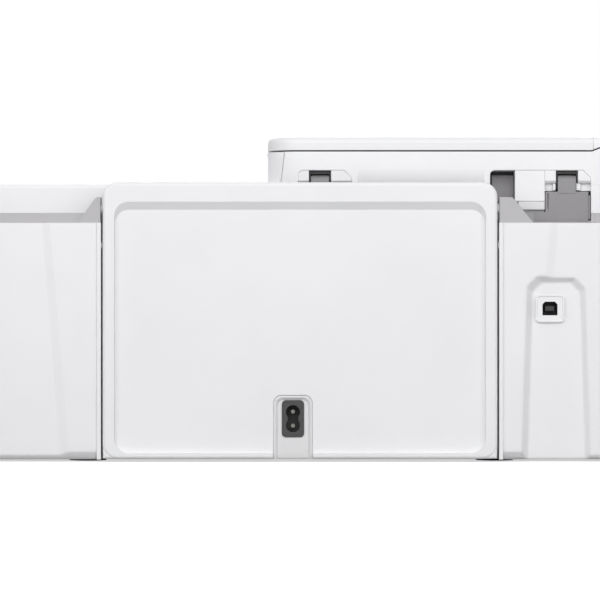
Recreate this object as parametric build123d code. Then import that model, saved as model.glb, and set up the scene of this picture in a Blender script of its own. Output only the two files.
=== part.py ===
from build123d import *
import math
import os

# A multifunction printer with a sheet feeder, standing on its feet.
# Millimetres, +Z up, the control panel faces -Y and the paper tray is at the rear, +Y.
# The origin is the middle of the footprint, at the level the feet stand on.

# Driving dimensions
WIDTH = 428.0
DEPTH = 332.0
HEIGHT = 200.0
WALL = 2.4
CORNER_R = 20.0
RUN_FIT = 0.05
SLIDE_GAP = 0.3
SEAM = 0.1

# Farther than any part of the printer reaches, for cuts that run right through
FAR = 2 * WIDTH

# Heights of the storeys, from the sheet feeder's covers down to the feet
COVER_H = 8.0
COVER_SEAM = 0.9
FEEDER_H = 20.5
LID_H = 17.6
LID_GAP = 0.4
BAND_H = 6.2
PANEL_DROP = 34.4
FOOT_H = 1.6
SEAM_Z = HEIGHT - COVER_H - COVER_SEAM
SHELF_TOP = SEAM_Z - FEEDER_H
LID_BOTTOM = SHELF_TOP - LID_H
DECK_TOP = LID_BOTTOM - LID_GAP
CASE_TOP = DECK_TOP - BAND_H
SLOPE_Z = CASE_TOP - PANEL_DROP
FLOOR_Z = FOOT_H + 2 * WALL

# Case outline
HALF_W = WIDTH / 2
TRAY_REAR_Y = DEPTH / 2
FRONT_Y = -DEPTH / 2
FACE_SET_BACK = 3.0
FACE_PROUD = 1.5
FACE_Y = TRAY_REAR_Y - FACE_SET_BACK
CASE_REAR_Y = FACE_Y - FACE_PROUD
PANEL_RUN = 39.0
SLOPE_TOP_Y = FRONT_Y + PANEL_RUN
SLOPE_ANGLE = math.atan2(PANEL_DROP, PANEL_RUN)
BOTTOM_CHAMFER = 2.6

# Paper tray that closes over the rear of the case, on two pivot pins
TRAY_HALF_W = 120.5
TRAY_THICK = 16.0
TRAY_BOTTOM = 2.0
TRAY_TOP = SHELF_TOP + 0.4
TRAY_CORNER_R = 9.0
TRAY_EDGE_R = 2.2
TRAY_FRONT_Y = TRAY_REAR_Y - TRAY_THICK
RECESS_DEPTH = 4.0
RECESS_FLOOR_Y = TRAY_REAR_Y - RECESS_DEPTH
RECESS_HALF_W = TRAY_HALF_W - 7.1
RECESS_BOTTOM = TRAY_BOTTOM + 3.5
RECESS_TOP = TRAY_TOP - 16.7
RECESS_SLOPE = 4.9
RECESS_CORNER_R = 9.0
TRAY_RIBS_X = (-80.0, -40.0, 45.0, 85.0)
TRAY_PIVOT_Y = TRAY_REAR_Y - 9.0
TRAY_PIVOT_Z = TRAY_TOP - 16.0
PIVOT_R = 3.0
PIVOT_LENGTH = 5.0
TRAY_OPEN = math.radians(155.0)

# Pocket in the case that the tray closes into
TRAY_GAP = 1.2
POCKET_HALF_W = TRAY_HALF_W + TRAY_GAP
POCKET_WALL_Y = TRAY_FRONT_Y - 1.0
POCKET_TOP = CASE_TOP - 10.4

# Ears that carry the tray: the flat top and the foot of each, at -X and at +X
EAR_X = TRAY_HALF_W + 1.5
EAR_FLAT = (7.8, 2.5)
EAR_WIDTH = (20.7, 14.0)
EAR_H = 15.6
EAR_ROUND = 2.2
EAR_Y = (TRAY_FRONT_Y - 2.0, FACE_Y - 0.6)
SLOT_FRONT_Y = POCKET_WALL_Y - 13.5

# Paper path inside the case
RAMP_HALF_W = TRAY_HALF_W - 8.5
RAMP_THICK = 2.5
RAMP_TOP = (POCKET_WALL_Y - 7.5, CASE_TOP - 12.4)
RAMP_DROP = 74.0
RAMP_LEAN = math.pi - TRAY_OPEN
PAPER_GUIDE_H = 18.0
PAPER_GUIDE_L = 44.0
PLATE_X = 124.0
PLATE_T = 2.0
SHAFT_R = 3.0
ROLLER_R = 6.0
PICK_R = 14.0
PICK_W = 34.0
FEED_GEAR_R = 9.7
IDLER_GEAR_R = 20.0
IDLER_PIN_R = 2.0
PINION_R = 5.0
MOTOR_SHAFT_R = 1.5
FEED_MOTOR_R = 11.0
FEED_MOTOR_L = 24.0
GEAR_GAP = 0.3
GEAR_WIDTH = 4.0
TOOTH_H = 1.2

# Scanner
TUB_H = 20.4
TUB_WALL = 2.0
TUB_BOTTOM = CASE_TOP - TUB_H
TUB_X = HALF_W - 24.0
BAND_INSET = 4.0
BAND_WALL = 3.0
BAND_CORNER_R = 17.0
MID_HALF_W = HALF_W - BAND_INSET
MID_FRONT_Y = SLOPE_TOP_Y + 3.0
MID_REAR_Y = CASE_REAR_Y - 3.0
MID_PLATE = 2.0
DECK_THICK = 4.0
GLASS_T = 2.0
ADF_GLASS_X = (-TUB_X + 15.0, -TUB_X + 40.0)
GLASS_X = (ADF_GLASS_X[1] + 8.0, TUB_X - 35.0)
GLASS_LEDGE = 3.0
SCAN_ROD_Z = TUB_BOTTOM + 9.0
SCAN_BAR_W = 22.0

# Ink carriage, its rail and its belt, over the platen and the rollers
CARRIAGE_Z = (TUB_BOTTOM - 49.0, TUB_BOTTOM - 10.0)
PLATEN_Z = (CARRIAGE_Z[0] - 16.0, CARRIAGE_Z[0] - 9.0)
FEED_AT = (POCKET_WALL_Y - 87.0, PLATEN_Z[1] - 2.0)
EXIT_AT = (FEED_AT[0] - 54.0, PLATEN_Z[1] - 4.0)
PLATEN_Y = (EXIT_AT[0] + 8.0, FEED_AT[0] - 10.0)
RAIL_AT = (FEED_AT[0] + 8.0, TUB_BOTTOM - 26.0)
RAIL_R = 4.0
RAIL_END_X = HALF_W - 17.0
UPRIGHT_T = 3.0
UPRIGHT_Y = (RAIL_AT[0] - 8.0, RAIL_AT[0] + 28.0)
CARRIAGE_X = 42.0
CARRIAGE_Y = (EXIT_AT[0] - 12.0, FEED_AT[0] - 2.0)
CARRIAGE_FLOOR = 4.0
BAY_X = ((-38.0, -2.0), (2.0, 38.0))
BAY_Y = (CARRIAGE_Y[0] + 3.0, CARRIAGE_Y[1] - 3.0)
BAY_BOTTOM = CARRIAGE_Z[0] + CARRIAGE_FLOOR
PULLEY_X = RAIL_END_X - 21.0
PULLEY_R = 6.0
PULLEY_FLANGE = 1.6
BELT_T = 1.0
BELT_Z = (RAIL_AT[1] - 4.0, RAIL_AT[1])
PULLEY_Y = RAIL_AT[0] + 15.5
MOTOR_PLATE_Z = (RAIL_AT[1] - 10.0, RAIL_AT[1] - 8.0)
CARRIAGE_MOTOR_R = 12.0
CARRIAGE_MOTOR_H = 26.0

# Scanner lid, its sheet feeder and the hinges at its rear edge
LID_REAR_Y = TRAY_REAR_Y - 32.0
LID_FRONT_Y = SLOPE_TOP_Y - 1.0
LID_WALL = 2.5
LID_INNER_R = 15.0
LID_RIBS_X = (-150.0, -75.0, 0.0, 75.0, 150.0)
LID_RIB_H = 4.0
LID_EDGE_R = 2.0
FEEDER_RIGHT_X = 20.0
HINGE_Y = LID_REAR_Y - 5.5
HINGE_Z = SHELF_TOP + 0.9
KNUCKLE_R = 5.0
NECK_W = 11.2
NECK_GAP = 1.3
YOKE_T = 2.5
YOKE_Y = (HINGE_Y - 6.0, HINGE_Y + 2.1)
YOKE_TOP = HINGE_Z + 7.9
LEG_W = 26.6
LEG_X = (-12.4, -HALF_W + 48.5)
LEG_Y = (LID_REAR_Y - 14.5, LID_REAR_Y - 1.0)
LEG_SHOULDER = HINGE_Z - 5.2
LEG_FOOT_H = 5.2
LEG_FOOT_W = 16.2
STEM_W = 18.0
STEM_Y = (LEG_Y[0] + 2.5, LEG_Y[1] - 2.5)
STEM_BOTTOM = CASE_TOP - 10.4
SOCKET_WALL = 2.0
STEM_GAP = 0.2
HINGE_PIN_R = 2.5
LEG_POCKET_Y = LID_REAR_Y - 17.0
LEG_POCKET_TOP = HINGE_Z + 0.1
WING_BOTTOM = LEG_SHOULDER + 0.5
WING_Y = HINGE_Y + 1.0
POCKETS_X = ((LEG_X[0] - 19.8, LEG_X[0] + 13.6), (LEG_X[1] - 14.9, LEG_X[1] + 47.7))
POCKET_CORNER_R = 2.8
PANEL_IN = 0.6
CEILING_CHAMFER = 1.5
CABLE_COVER_X = (LEG_X[1] + 13.8, LEG_X[1] + 32.2)
CABLE_COVER_Z = (HINGE_Z - 11.0, YOKE_TOP)
CABLE_LIP_Z = (CABLE_COVER_Z[0] - 5.3, CABLE_COVER_Z[0] - 1.0)
UNDERCUT_X = (POCKETS_X[1][1] + 3.8, POCKETS_X[0][0] - 3.8)
UNDERCUT_R = 29.0
DECK_REAR_Y = LEG_POCKET_Y - 1.0
TUB_Y = (SLOPE_TOP_Y + 11.0, DECK_REAR_Y - 2.0)
GLASS_Y = (TUB_Y[0] + 8.0, TUB_Y[1] - 6.0)
# The band is left open behind the right hinge, down to the top of the case
BAND_NOTCH_X = (POCKETS_X[1][0], -EAR_X - EAR_WIDTH[0] - 0.5)
BAND_NOTCH_Y = LEG_Y[1] + 0.2
BAND_PAN_T = 1.5

# Sheet feeder covers. The seam under them rises towards the roller cover
COVER_SPLIT_X = -HALF_W + 32.0
SEAM_RISE = 3.2
SEAM_RISE_X = (COVER_SPLIT_X - 7.0, COVER_SPLIT_X + 1.0)
TOP_HINGE_INSET = 0.4
ROLLER_HINGE_INSET = 1.5
COVER_HINGES_Y = (-70.0, 70.0)
COVER_KNUCKLE_R = 1.3
COVER_KNUCKLE_HALF = 5.7
COVER_LUG_W = 2.0
COVER_PIN_R = 0.7
COVER_FILLET = 3.6
COVER_SIDE = 4.5
PART_LINE_X = (9.3, 11.9)
SHEET_FLOOR_Z = SEAM_Z - 5.6
SHEET_BED_X = (COVER_SPLIT_X + 10.0, FEEDER_RIGHT_X - 10.0)
SHEET_BED_Y = (LID_FRONT_Y + 16.0, LEG_POCKET_Y - 5.0)
FEEDER_ROLLER_AT = (-HALF_W + 17.0, SHELF_TOP + 10.4)
FEEDER_ROLLER_R = 7.0
FEEDER_BEARING_Y = (60.0, 63.0)

# Front openings
DOOR_HALF_W = TRAY_HALF_W + 3.5
DOOR_TOP = SLOPE_Z - 2.0
DOOR_H = 44.0
DOOR_HINGE_Z = DOOR_TOP - DOOR_H
DOOR_BARREL_R = 3.0
DOOR_PIN_R = 1.5
DOOR_LUG_W = 6.0
OUTPUT_HALF_W = RAMP_HALF_W - 2.0
OUTPUT_Z = (FLOOR_Z + 3.6, DOOR_HINGE_Z - 8.0)
OUTPUT_TRAY_Z = (FLOOR_Z + 5.6, FLOOR_Z + 8.6)
OUTPUT_TRAY_Y = (FRONT_Y + 0.8, EXIT_AT[0] - 20.0)
EXTENSION_HALF_W = 66.0
EXTENSION_Y = (FRONT_Y + 5.0, OUTPUT_TRAY_Y[1] - 18.0)
TRAY_RAIL_Y = (FRONT_Y + 10.0, OUTPUT_TRAY_Y[1] + 2.0)

# Control panel on the sloping front, in the plane of the slope
PANEL_W = 300.0
PANEL_H = 40.0
PANEL_T = 2.0
PANEL_EDGE = 8.0
DISPLAY_W = 62.0
DISPLAY_H = 26.0
DISPLAY_LEDGE = 3.0
DISPLAY_T = 1.2
BUTTON_R = 5.5
BUTTON_GAP = 0.3
BUTTON_FLANGE = 1.6
BUTTON_PROUD = 1.2
BUTTONS = {
    "power_button": (-128.0, 0.0),
    "wireless_button": (-100.0, 0.0),
    "menu_button": (-72.0, 0.0),
    "cancel_button": (62.0, 0.0),
    "copy_black_button": (90.0, 0.0),
    "copy_colour_button": (118.0, 0.0),
}

# Sockets at the rear
SOCKET_GAP = 0.05
INLET_X = 4.3
INLET_Z = 26.5
INLET_W = 13.5
INLET_H = 22.6
INLET_R = 2.5
INLET_DEEP = 15.0
INLET_BORE_R = 4.25
INLET_PIN_GAP = 8.6
INLET_PIN_R = 1.2
NOTCH_HALF_W = 12.0
NOTCH_TOP = 41.0
NOTCH_R = 5.0
BOSS_GAP = 2.1
USB_X = -POCKET_HALF_W - 31.3
USB_PLATE_W = 18.0
USB_PLATE_H = 17.2
USB_PLATE_T = 1.2
USB_OPENING = (9.0, 8.2)
USB_SHELL = 0.9
USB_DEEP = 12.0
USB_WELL_X = USB_X - 4.0
USB_WELL_TOP = CASE_TOP - 32.9
USB_WELL_HALF_W = (18.2, 21.5)
USB_WELL_DEPTH = 5.0
USB_WELL_CUT = 6.0
USB_Z = USB_WELL_TOP - 19.6

# Power supply and circuit board
SUPPLY_X = (PLATE_X + 12.0, HALF_W - 28.0)
SUPPLY_Y = (POCKET_WALL_Y - 47.0, POCKET_WALL_Y - 9.0)
SUPPLY_TOP = 46.0
BOARD_X = (-HALF_W + 8.0, -POCKET_HALF_W - WALL - 9.4)
BOARD_Y = (POCKET_WALL_Y - 47.0, POCKET_WALL_Y + 1.0)
BOARD_TOP = USB_Z - USB_OPENING[1] / 2 - 1.5
BOARD_T = 1.9
BOARD_POST_R = 3.0

# Underside
FOOT_R = 11.5
FEET_AT = (
    (TRAY_HALF_W + 11.0, TRAY_REAR_Y - 34.0),
    (-TRAY_HALF_W, TRAY_REAR_Y - 34.0),
    (HALF_W - 49.0, FRONT_Y + 38.0),
    (-HALF_W + 49.0, FRONT_Y + 38.0),
)
SCREW_HEAD_R = 3.2
SCREW_HEAD_H = 0.9
SCREW_PLACES = (
    (-HALF_W + 14.0, -60.0),
    (HALF_W - 14.0, -60.0),
    (-HALF_W + 14.0, 60.0),
    (HALF_W - 14.0, 60.0),
    (-60.0, FRONT_Y + 16.0),
    (60.0, FRONT_Y + 16.0),
)
UNDERSIDE_X = (-HALF_W + 66.0, HALF_W - 66.0)
UNDERSIDE_Y = (FRONT_Y + 56.0, TRAY_REAR_Y - 48.0)


def block(x, y, z):
    size = (x[1] - x[0], y[1] - y[0], z[1] - z[0])
    middle = ((x[0] + x[1]) / 2, (y[0] + y[1]) / 2, (z[0] + z[1]) / 2)
    return Pos(*middle) * Box(*size)


def rounded_block(x, y, z, radius):
    plan = RectangleRounded(x[1] - x[0], y[1] - y[0], radius)
    return Pos((x[0] + x[1]) / 2, (y[0] + y[1]) / 2, z[0]) * extrude(plan, z[1] - z[0])


def upright_slab(x, z, y, radius):
    """A slab across the width, with rounded corners as seen from the rear."""
    plan = RectangleRounded(x[1] - x[0], z[1] - z[0], radius)
    slab = extrude(plan, y[1] - y[0])
    return Pos((x[0] + x[1]) / 2, y[1], (z[0] + z[1]) / 2) * Rot(90, 0, 0) * slab


def rod(axis, at, radius, span):
    """A cylinder along an axis, placed by its other two coordinates."""
    length = span[1] - span[0]
    middle = (span[0] + span[1]) / 2
    if axis == "x":
        return Pos(middle, at[0], at[1]) * Rot(0, 90, 0) * Cylinder(radius, length)
    if axis == "y":
        return Pos(at[0], middle, at[1]) * Rot(90, 0, 0) * Cylinder(radius, length)
    return Pos(at[0], at[1], middle) * Cylinder(radius, length)


def prism(points, axis, span):
    """A polygon in the other two coordinates, drawn out along an axis."""
    if axis == "x":
        corners = [(span[0], p[0], p[1]) for p in points]
        way = (1, 0, 0)
    elif axis == "y":
        corners = [(p[0], span[0], p[1]) for p in points]
        way = (0, 1, 0)
    else:
        corners = [(p[0], p[1], span[0]) for p in points]
        way = (0, 0, 1)
    face = Face(Wire.make_polygon(corners))
    return extrude(face, amount=span[1] - span[0], dir=way)


def grow(span, amount):
    return (span[0] - amount, span[1] + amount)


def around(middle, half):
    return (middle - half, middle + half)


def on_side(side, near, far):
    """A span on one side of the middle: side is -1 or 1."""
    return sorted((side * near, side * far))


def write(name, shape):
    export_step(shape, f"parts/{name}.step")


# The plane of the sloping front, with its origin at the middle of the slope
slope_plane = Plane(
    origin=(0, (FRONT_Y + SLOPE_TOP_Y) / 2, (SLOPE_Z + CASE_TOP) / 2),
    x_dir=(1, 0, 0),
    z_dir=(0, -math.sin(SLOPE_ANGLE), math.cos(SLOPE_ANGLE)),
)


def on_slope(shape):
    return slope_plane.location * shape


def case_form(inset, bottom, top):
    """The outside of the case, drawn in by an inset on every side."""
    rise = inset * (math.sin(SLOPE_ANGLE) - 1) / math.cos(SLOPE_ANGLE)
    front = FRONT_Y + inset
    run = (inset + math.cos(SLOPE_ANGLE) * (top - SLOPE_Z)) / math.sin(SLOPE_ANGLE)
    profile = [
        (front, bottom),
        (front, SLOPE_Z + rise),
        (FRONT_Y + run, top),
        (CASE_REAR_Y, top),
        (CASE_REAR_Y, bottom),
    ]
    plan = rounded_block(
        (-HALF_W + inset, HALF_W - inset),
        (front, CASE_REAR_Y - inset),
        (bottom, top),
        CORNER_R - inset,
    )
    return plan & prism(profile, "x", (-HALF_W, HALF_W))


def raised_face():
    """The flat middle of the rear, set out from the corners by a soft step."""
    bottom = FOOT_H + BOTTOM_CHAMFER

    def outline(top_half, bottom_half, low, y):
        return Face(Wire.make_polygon([
            (-bottom_half, y, low),
            (bottom_half, y, low),
            (top_half, y, CASE_TOP),
            (-top_half, y, CASE_TOP),
        ]))
    base = outline(HALF_W - 55, HALF_W - 66, bottom, CASE_REAR_Y - 0.4)
    front = outline(HALF_W - 61, HALF_W - 73, bottom + 2, FACE_Y)
    return loft([base, front], ruled=True)


def usb_well(inset, depth):
    """The sunken place around the data socket, open at the bottom."""
    top_half = USB_WELL_HALF_W[0] - inset
    bottom_half = USB_WELL_HALF_W[1] - inset
    top = USB_WELL_TOP - inset
    y = FACE_Y - depth
    return Face(Wire.make_polygon([
        (USB_WELL_X - bottom_half, y, 0.0),
        (USB_WELL_X + bottom_half, y, 0.0),
        (USB_WELL_X + top_half, y, top - USB_WELL_CUT),
        (USB_WELL_X + top_half - USB_WELL_CUT, y, top),
        (USB_WELL_X - top_half + USB_WELL_CUT, y, top),
        (USB_WELL_X - top_half, y, top - USB_WELL_CUT),
    ]))


def main_case():
    form = case_form(0, FOOT_H, CASE_TOP)
    form = chamfer(form.edges().group_by(Axis.Z)[0], BOTTOM_CHAMFER)
    form = form + raised_face()
    form -= case_form(WALL, FOOT_H + WALL, CASE_TOP + 1)
    # Thicker wall behind the data socket, and the sunken place in it
    form += block(
        around(USB_WELL_X, USB_WELL_HALF_W[1] + 5),
        (FACE_Y - USB_WELL_DEPTH - WALL, CASE_REAR_Y - 1),
        (FOOT_H + 1, USB_WELL_TOP + 7),
    )
    form -= loft([usb_well(3.4, USB_WELL_DEPTH), usb_well(-0.2, -0.3)], ruled=True)
    form -= block(
        around(USB_X, USB_OPENING[0] / 2 + 1),
        (FACE_Y - 20, FACE_Y),
        around(USB_Z, USB_OPENING[1] / 2 + 1),
    )
    # Pocket for the tray
    form -= block(around(0, POCKET_HALF_W + WALL), (POCKET_WALL_Y - WALL, FAR), (0, FAR))
    # Opening under the chassis plate
    form -= block(UNDERSIDE_X, UNDERSIDE_Y, (0, FOOT_H + WALL + 1))
    return front_openings(form)


def front_openings(form):
    """The paper exit, the cartridge door and the window behind the control panel."""
    form -= block(around(0, OUTPUT_HALF_W), (FRONT_Y - 1, FRONT_Y + 10), OUTPUT_Z)
    hinge = (FRONT_Y + DOOR_BARREL_R, DOOR_HINGE_Z)
    for side in (-1, 1):
        form += block(
            on_side(side, DOOR_HALF_W + SLIDE_GAP, DOOR_HALF_W + DOOR_LUG_W),
            (FRONT_Y + 1, FRONT_Y + 2 * DOOR_BARREL_R + 1),
            around(DOOR_HINGE_Z, DOOR_BARREL_R + 1),
        )
        form -= rod("x", hinge, DOOR_PIN_R + RUN_FIT, on_side(side, DOOR_HALF_W, DOOR_HALF_W + 4))
    form -= block(
        around(0, DOOR_HALF_W + SLIDE_GAP),
        (FRONT_Y - 1, FRONT_Y + WALL + 0.2),
        (DOOR_HINGE_Z - DOOR_BARREL_R - SLIDE_GAP, DOOR_TOP + SLIDE_GAP),
    )
    form -= on_slope(Box(PANEL_W - 2 * PANEL_EDGE, PANEL_H - 12, 12))
    return form


def rear_case():
    """The walls of the tray pocket and the raised boss of the power inlet."""
    inside = around(0, POCKET_HALF_W)
    form = block(grow(inside, WALL), (POCKET_WALL_Y - WALL, FACE_Y), (FOOT_H, CASE_TOP))
    form -= block(inside, (POCKET_WALL_Y, FAR), (0, FAR))
    form -= block(inside, (0, POCKET_WALL_Y + 1), (POCKET_TOP, FAR))
    form += upright_slab(
        around(INLET_X, NOTCH_HALF_W - BOSS_GAP),
        (4.0, NOTCH_TOP - BOSS_GAP),
        (POCKET_WALL_Y - 1, RECESS_FLOOR_Y - 1.2),
        3.0,
    )
    form -= upright_slab(
        around(INLET_X, INLET_W / 2 + SOCKET_GAP),
        around(INLET_Z, INLET_H / 2 + SOCKET_GAP),
        (POCKET_WALL_Y - 20, TRAY_REAR_Y),
        INLET_R,
    )
    # Detents that hold the tray shut
    for side in (-1, 1):
        bump = Pos(side * (POCKET_HALF_W + 3.1), FACE_Y - 3.0, CASE_TOP - 13.9) * Sphere(4.0)
        form += bump & block(on_side(side, 100, POCKET_HALF_W + 1), (POCKET_WALL_Y, FACE_Y), (0, CASE_TOP))
    return form


def bottom_chassis():
    plate = rounded_block(
        around(0, HALF_W - WALL - SEAM),
        (FRONT_Y + WALL + SEAM, POCKET_WALL_Y - WALL - SEAM),
        (FOOT_H + WALL, FLOOR_Z),
        CORNER_R - WALL - SEAM,
    )
    # Rails that the output tray slides on
    for side in (-1, 1):
        x = on_side(side, OUTPUT_HALF_W - 3, OUTPUT_HALF_W + 6)
        plate += block(x, TRAY_RAIL_Y, (FLOOR_Z - 0.5, OUTPUT_TRAY_Z[0] - SLIDE_GAP))
        x = on_side(side, OUTPUT_HALF_W + SLIDE_GAP, OUTPUT_HALF_W + 6)
        plate += block(x, TRAY_RAIL_Y, (FLOOR_Z, OUTPUT_TRAY_Z[1] + 4))
    # Posts under the circuit board
    for x in (BOARD_X[0] + 8, BOARD_X[1] - 7):
        for y in (BOARD_Y[0] + 4, BOARD_Y[1] - 7):
            plate += rod("z", (x, y), BOARD_POST_R, (FLOOR_Z - 0.5, BOARD_TOP - BOARD_T))
    return plate


def mid_frame():
    """The grey band between case and lid, with the two ears that carry the tray."""
    x = around(0, MID_HALF_W)
    y = (MID_FRONT_Y, MID_REAR_Y)
    form = rounded_block(x, y, (CASE_TOP, CASE_TOP + MID_PLATE), BAND_CORNER_R)
    band = rounded_block(x, y, (CASE_TOP, DECK_TOP - 0.2), BAND_CORNER_R)
    inner_r = BAND_CORNER_R - BAND_WALL
    form += band - rounded_block(grow(x, -BAND_WALL), grow(y, -BAND_WALL), (CASE_TOP - 1, FAR), inner_r)
    form -= block(around(0, TUB_X - TUB_WALL), grow(TUB_Y, -TUB_WALL), (0, FAR))
    form -= block(around(0, POCKET_HALF_W), (SLOT_FRONT_Y, FAR), (0, FAR))
    for at in LEG_X:
        half = STEM_W / 2
        outside = around(at, half + SOCKET_WALL)
        form += block(outside, grow(STEM_Y, SOCKET_WALL), (STEM_BOTTOM, CASE_TOP + 1))
        form -= block(around(at, half + STEM_GAP), grow(STEM_Y, STEM_GAP), (0, FAR))
    # A low pan takes the band's place behind the right hinge
    form -= block(BAND_NOTCH_X, (BAND_NOTCH_Y, FAR), (CASE_TOP, FAR))
    pan_y = (BAND_NOTCH_Y - BAND_PAN_T, MID_REAR_Y - 0.1)
    form += block(grow(BAND_NOTCH_X, BAND_PAN_T), pan_y, (CASE_TOP - BAND_PAN_T, CASE_TOP))
    for side in (-1, 1):
        form += ear(side)
    for side in (-1, 1):
        bore = on_side(side, EAR_X - 10, EAR_X + PIVOT_LENGTH + 1)
        form -= rod("x", (TRAY_PIVOT_Y, TRAY_PIVOT_Z), PIVOT_R + RUN_FIT, bore)
    return form


def ear(side):
    """An ear with a flat top and a slope down to the band, rounded between the two."""
    this = 0 if side < 0 else 1
    top = CASE_TOP + EAR_H
    outline = [
        (side * EAR_X, CASE_TOP),
        (side * EAR_X, top),
        (side * (EAR_X + EAR_FLAT[this]), top),
        (side * (EAR_X + EAR_WIDTH[this]), CASE_TOP),
    ]
    shape = prism(outline, "y", EAR_Y)
    ridge = shape.edges().filter_by(Axis.Y).group_by(Axis.Z)[-1].sort_by(Axis.X)
    return fillet(ridge[0 if side < 0 else -1], EAR_ROUND)


def scanner_deck():
    x = around(0, MID_HALF_W - BAND_WALL - SEAM)
    y = (MID_FRONT_Y + BAND_WALL + SEAM, DECK_REAR_Y)
    form = block(x, y, (DECK_TOP - DECK_THICK, DECK_TOP))
    form = fillet(form.edges().filter_by(Axis.Z).group_by(Axis.Y)[0], BAND_CORNER_R - BAND_WALL - SEAM)
    for span in (GLASS_X, ADF_GLASS_X):
        form -= block(span, GLASS_Y, (DECK_TOP - GLASS_T, FAR))
        form -= block(grow(span, -GLASS_LEDGE), grow(GLASS_Y, -GLASS_LEDGE), (0, FAR))
    # Feet under the deck, down to the band's plate
    for side in (-1, 1):
        spread = on_side(side, TUB_X + 1, TUB_X + 11)
        form += block(spread, (-90, 90), (CASE_TOP + MID_PLATE, DECK_TOP - DECK_THICK + 0.5))
    return form


def glass(span):
    return block(span, GLASS_Y, (DECK_TOP - GLASS_T, DECK_TOP))


def scanner_tub():
    form = block(around(0, TUB_X), TUB_Y, (TUB_BOTTOM, CASE_TOP))
    return form - block(around(0, TUB_X - TUB_WALL), grow(TUB_Y, -TUB_WALL), (TUB_BOTTOM + TUB_WALL, FAR))


def scan_rail():
    return rod("x", (0, SCAN_ROD_Z), SHAFT_R, around(0, TUB_X - TUB_WALL))


def scan_bar():
    """The scanning head, parked under the narrow feeder glass."""
    x = around((ADF_GLASS_X[0] + ADF_GLASS_X[1]) / 2, SCAN_BAR_W / 2)
    deck_bottom = DECK_TOP - DECK_THICK
    form = block(x, grow(TUB_Y, -6), (SCAN_ROD_Z + 2, deck_bottom - 0.6))
    form += block(x, (-8, 8), (SCAN_ROD_Z - 5, SCAN_ROD_Z + 3))
    form -= block(grow(x, -5), grow(TUB_Y, -14), (deck_bottom - 3.6, FAR))
    return form - rod("x", (0, SCAN_ROD_Z), SHAFT_R + RUN_FIT, (-FAR, FAR))


def input_tray():
    x = around(0, TRAY_HALF_W)
    form = upright_slab(x, (TRAY_BOTTOM, TRAY_TOP), (TRAY_FRONT_Y, TRAY_REAR_Y), TRAY_CORNER_R)
    form = fillet(form.faces().sort_by(Axis.Y)[-1].edges(), TRAY_EDGE_R)
    inside_y = (TRAY_FRONT_Y - 1, RECESS_FLOOR_Y - WALL)
    inside_z = (TRAY_BOTTOM + WALL, TRAY_TOP - WALL)
    form -= upright_slab(grow(x, -WALL), inside_z, inside_y, TRAY_CORNER_R - WALL)

    def outline(top, y):
        height = top - RECESS_BOTTOM
        flat = RectangleRounded(2 * RECESS_HALF_W, height, RECESS_CORNER_R)
        return (Pos(0, y, (top + RECESS_BOTTOM) / 2) * Rot(90, 0, 0) * flat).face()
    floor = outline(RECESS_TOP, RECESS_FLOOR_Y)
    mouth = outline(RECESS_TOP + RECESS_SLOPE, TRAY_REAR_Y + 0.1)
    form -= loft([floor, mouth], ruled=True)
    form -= upright_slab(around(INLET_X, NOTCH_HALF_W), (-20.0, NOTCH_TOP), (TRAY_FRONT_Y - 10, FAR), NOTCH_R)
    # Stiffening ribs on the inside
    rib_y = (RECESS_FLOOR_Y - WALL - 4, RECESS_FLOOR_Y - WALL + 0.5)
    for at in TRAY_RIBS_X:
        form += block(around(at, 1), rib_y, (TRAY_BOTTOM + 10, RECESS_TOP - 4))
    for side in (-1, 1):
        pin = on_side(side, TRAY_HALF_W - WALL, EAR_X + PIVOT_LENGTH)
        form += rod("x", (TRAY_PIVOT_Y, TRAY_PIVOT_Z), PIVOT_R, pin)
    return form


def ramp_location(x, down):
    """A point on the paper side of the ramp, with its frame: z is off the paper."""
    y = RAMP_TOP[0] - math.sin(RAMP_LEAN) * down
    z = RAMP_TOP[1] - math.cos(RAMP_LEAN) * down
    facing = (0, -math.cos(RAMP_LEAN), math.sin(RAMP_LEAN))
    return Plane(origin=(x, y, z), x_dir=(1, 0, 0), z_dir=facing).location


def paper_ramp():
    length = RAMP_DROP / math.cos(RAMP_LEAN)
    middle = ramp_location(0, length / 2)
    form = middle * (Pos(0, 0, -RAMP_THICK / 2) * Box(2 * RAMP_HALF_W, length, RAMP_THICK))
    shelf_y = (RAMP_TOP[0] - 8, POCKET_WALL_Y - WALL)
    shelf = block(around(0, RAMP_HALF_W), shelf_y, around(RAMP_TOP[1] - 17, 1))
    behind = middle * (Pos(0, 0, FAR / 2 - 1) * Box(FAR, FAR, FAR))
    return form + (shelf - behind)


def paper_guide(side):
    """A side guide that slides across the ramp, from its widest place."""
    at = side * (RAMP_HALF_W - 5.5)
    base = Pos(-side * 8, 0, SLIDE_GAP + 0.8) * Box(20, PAPER_GUIDE_L, 1.6)
    fin = Pos(0, 0, SLIDE_GAP + PAPER_GUIDE_H / 2) * Box(3, PAPER_GUIDE_L, PAPER_GUIDE_H)
    return ramp_location(at, 28.0) * (base + fin)


# The pick roller stands just off the paper, low on the ramp
PICK_DOWN = 62.0
pick_centre = ramp_location(0, PICK_DOWN) * Pos(0, 0, PICK_R + 0.5)
PICK_AT = (pick_centre.position.Y, pick_centre.position.Z)

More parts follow.
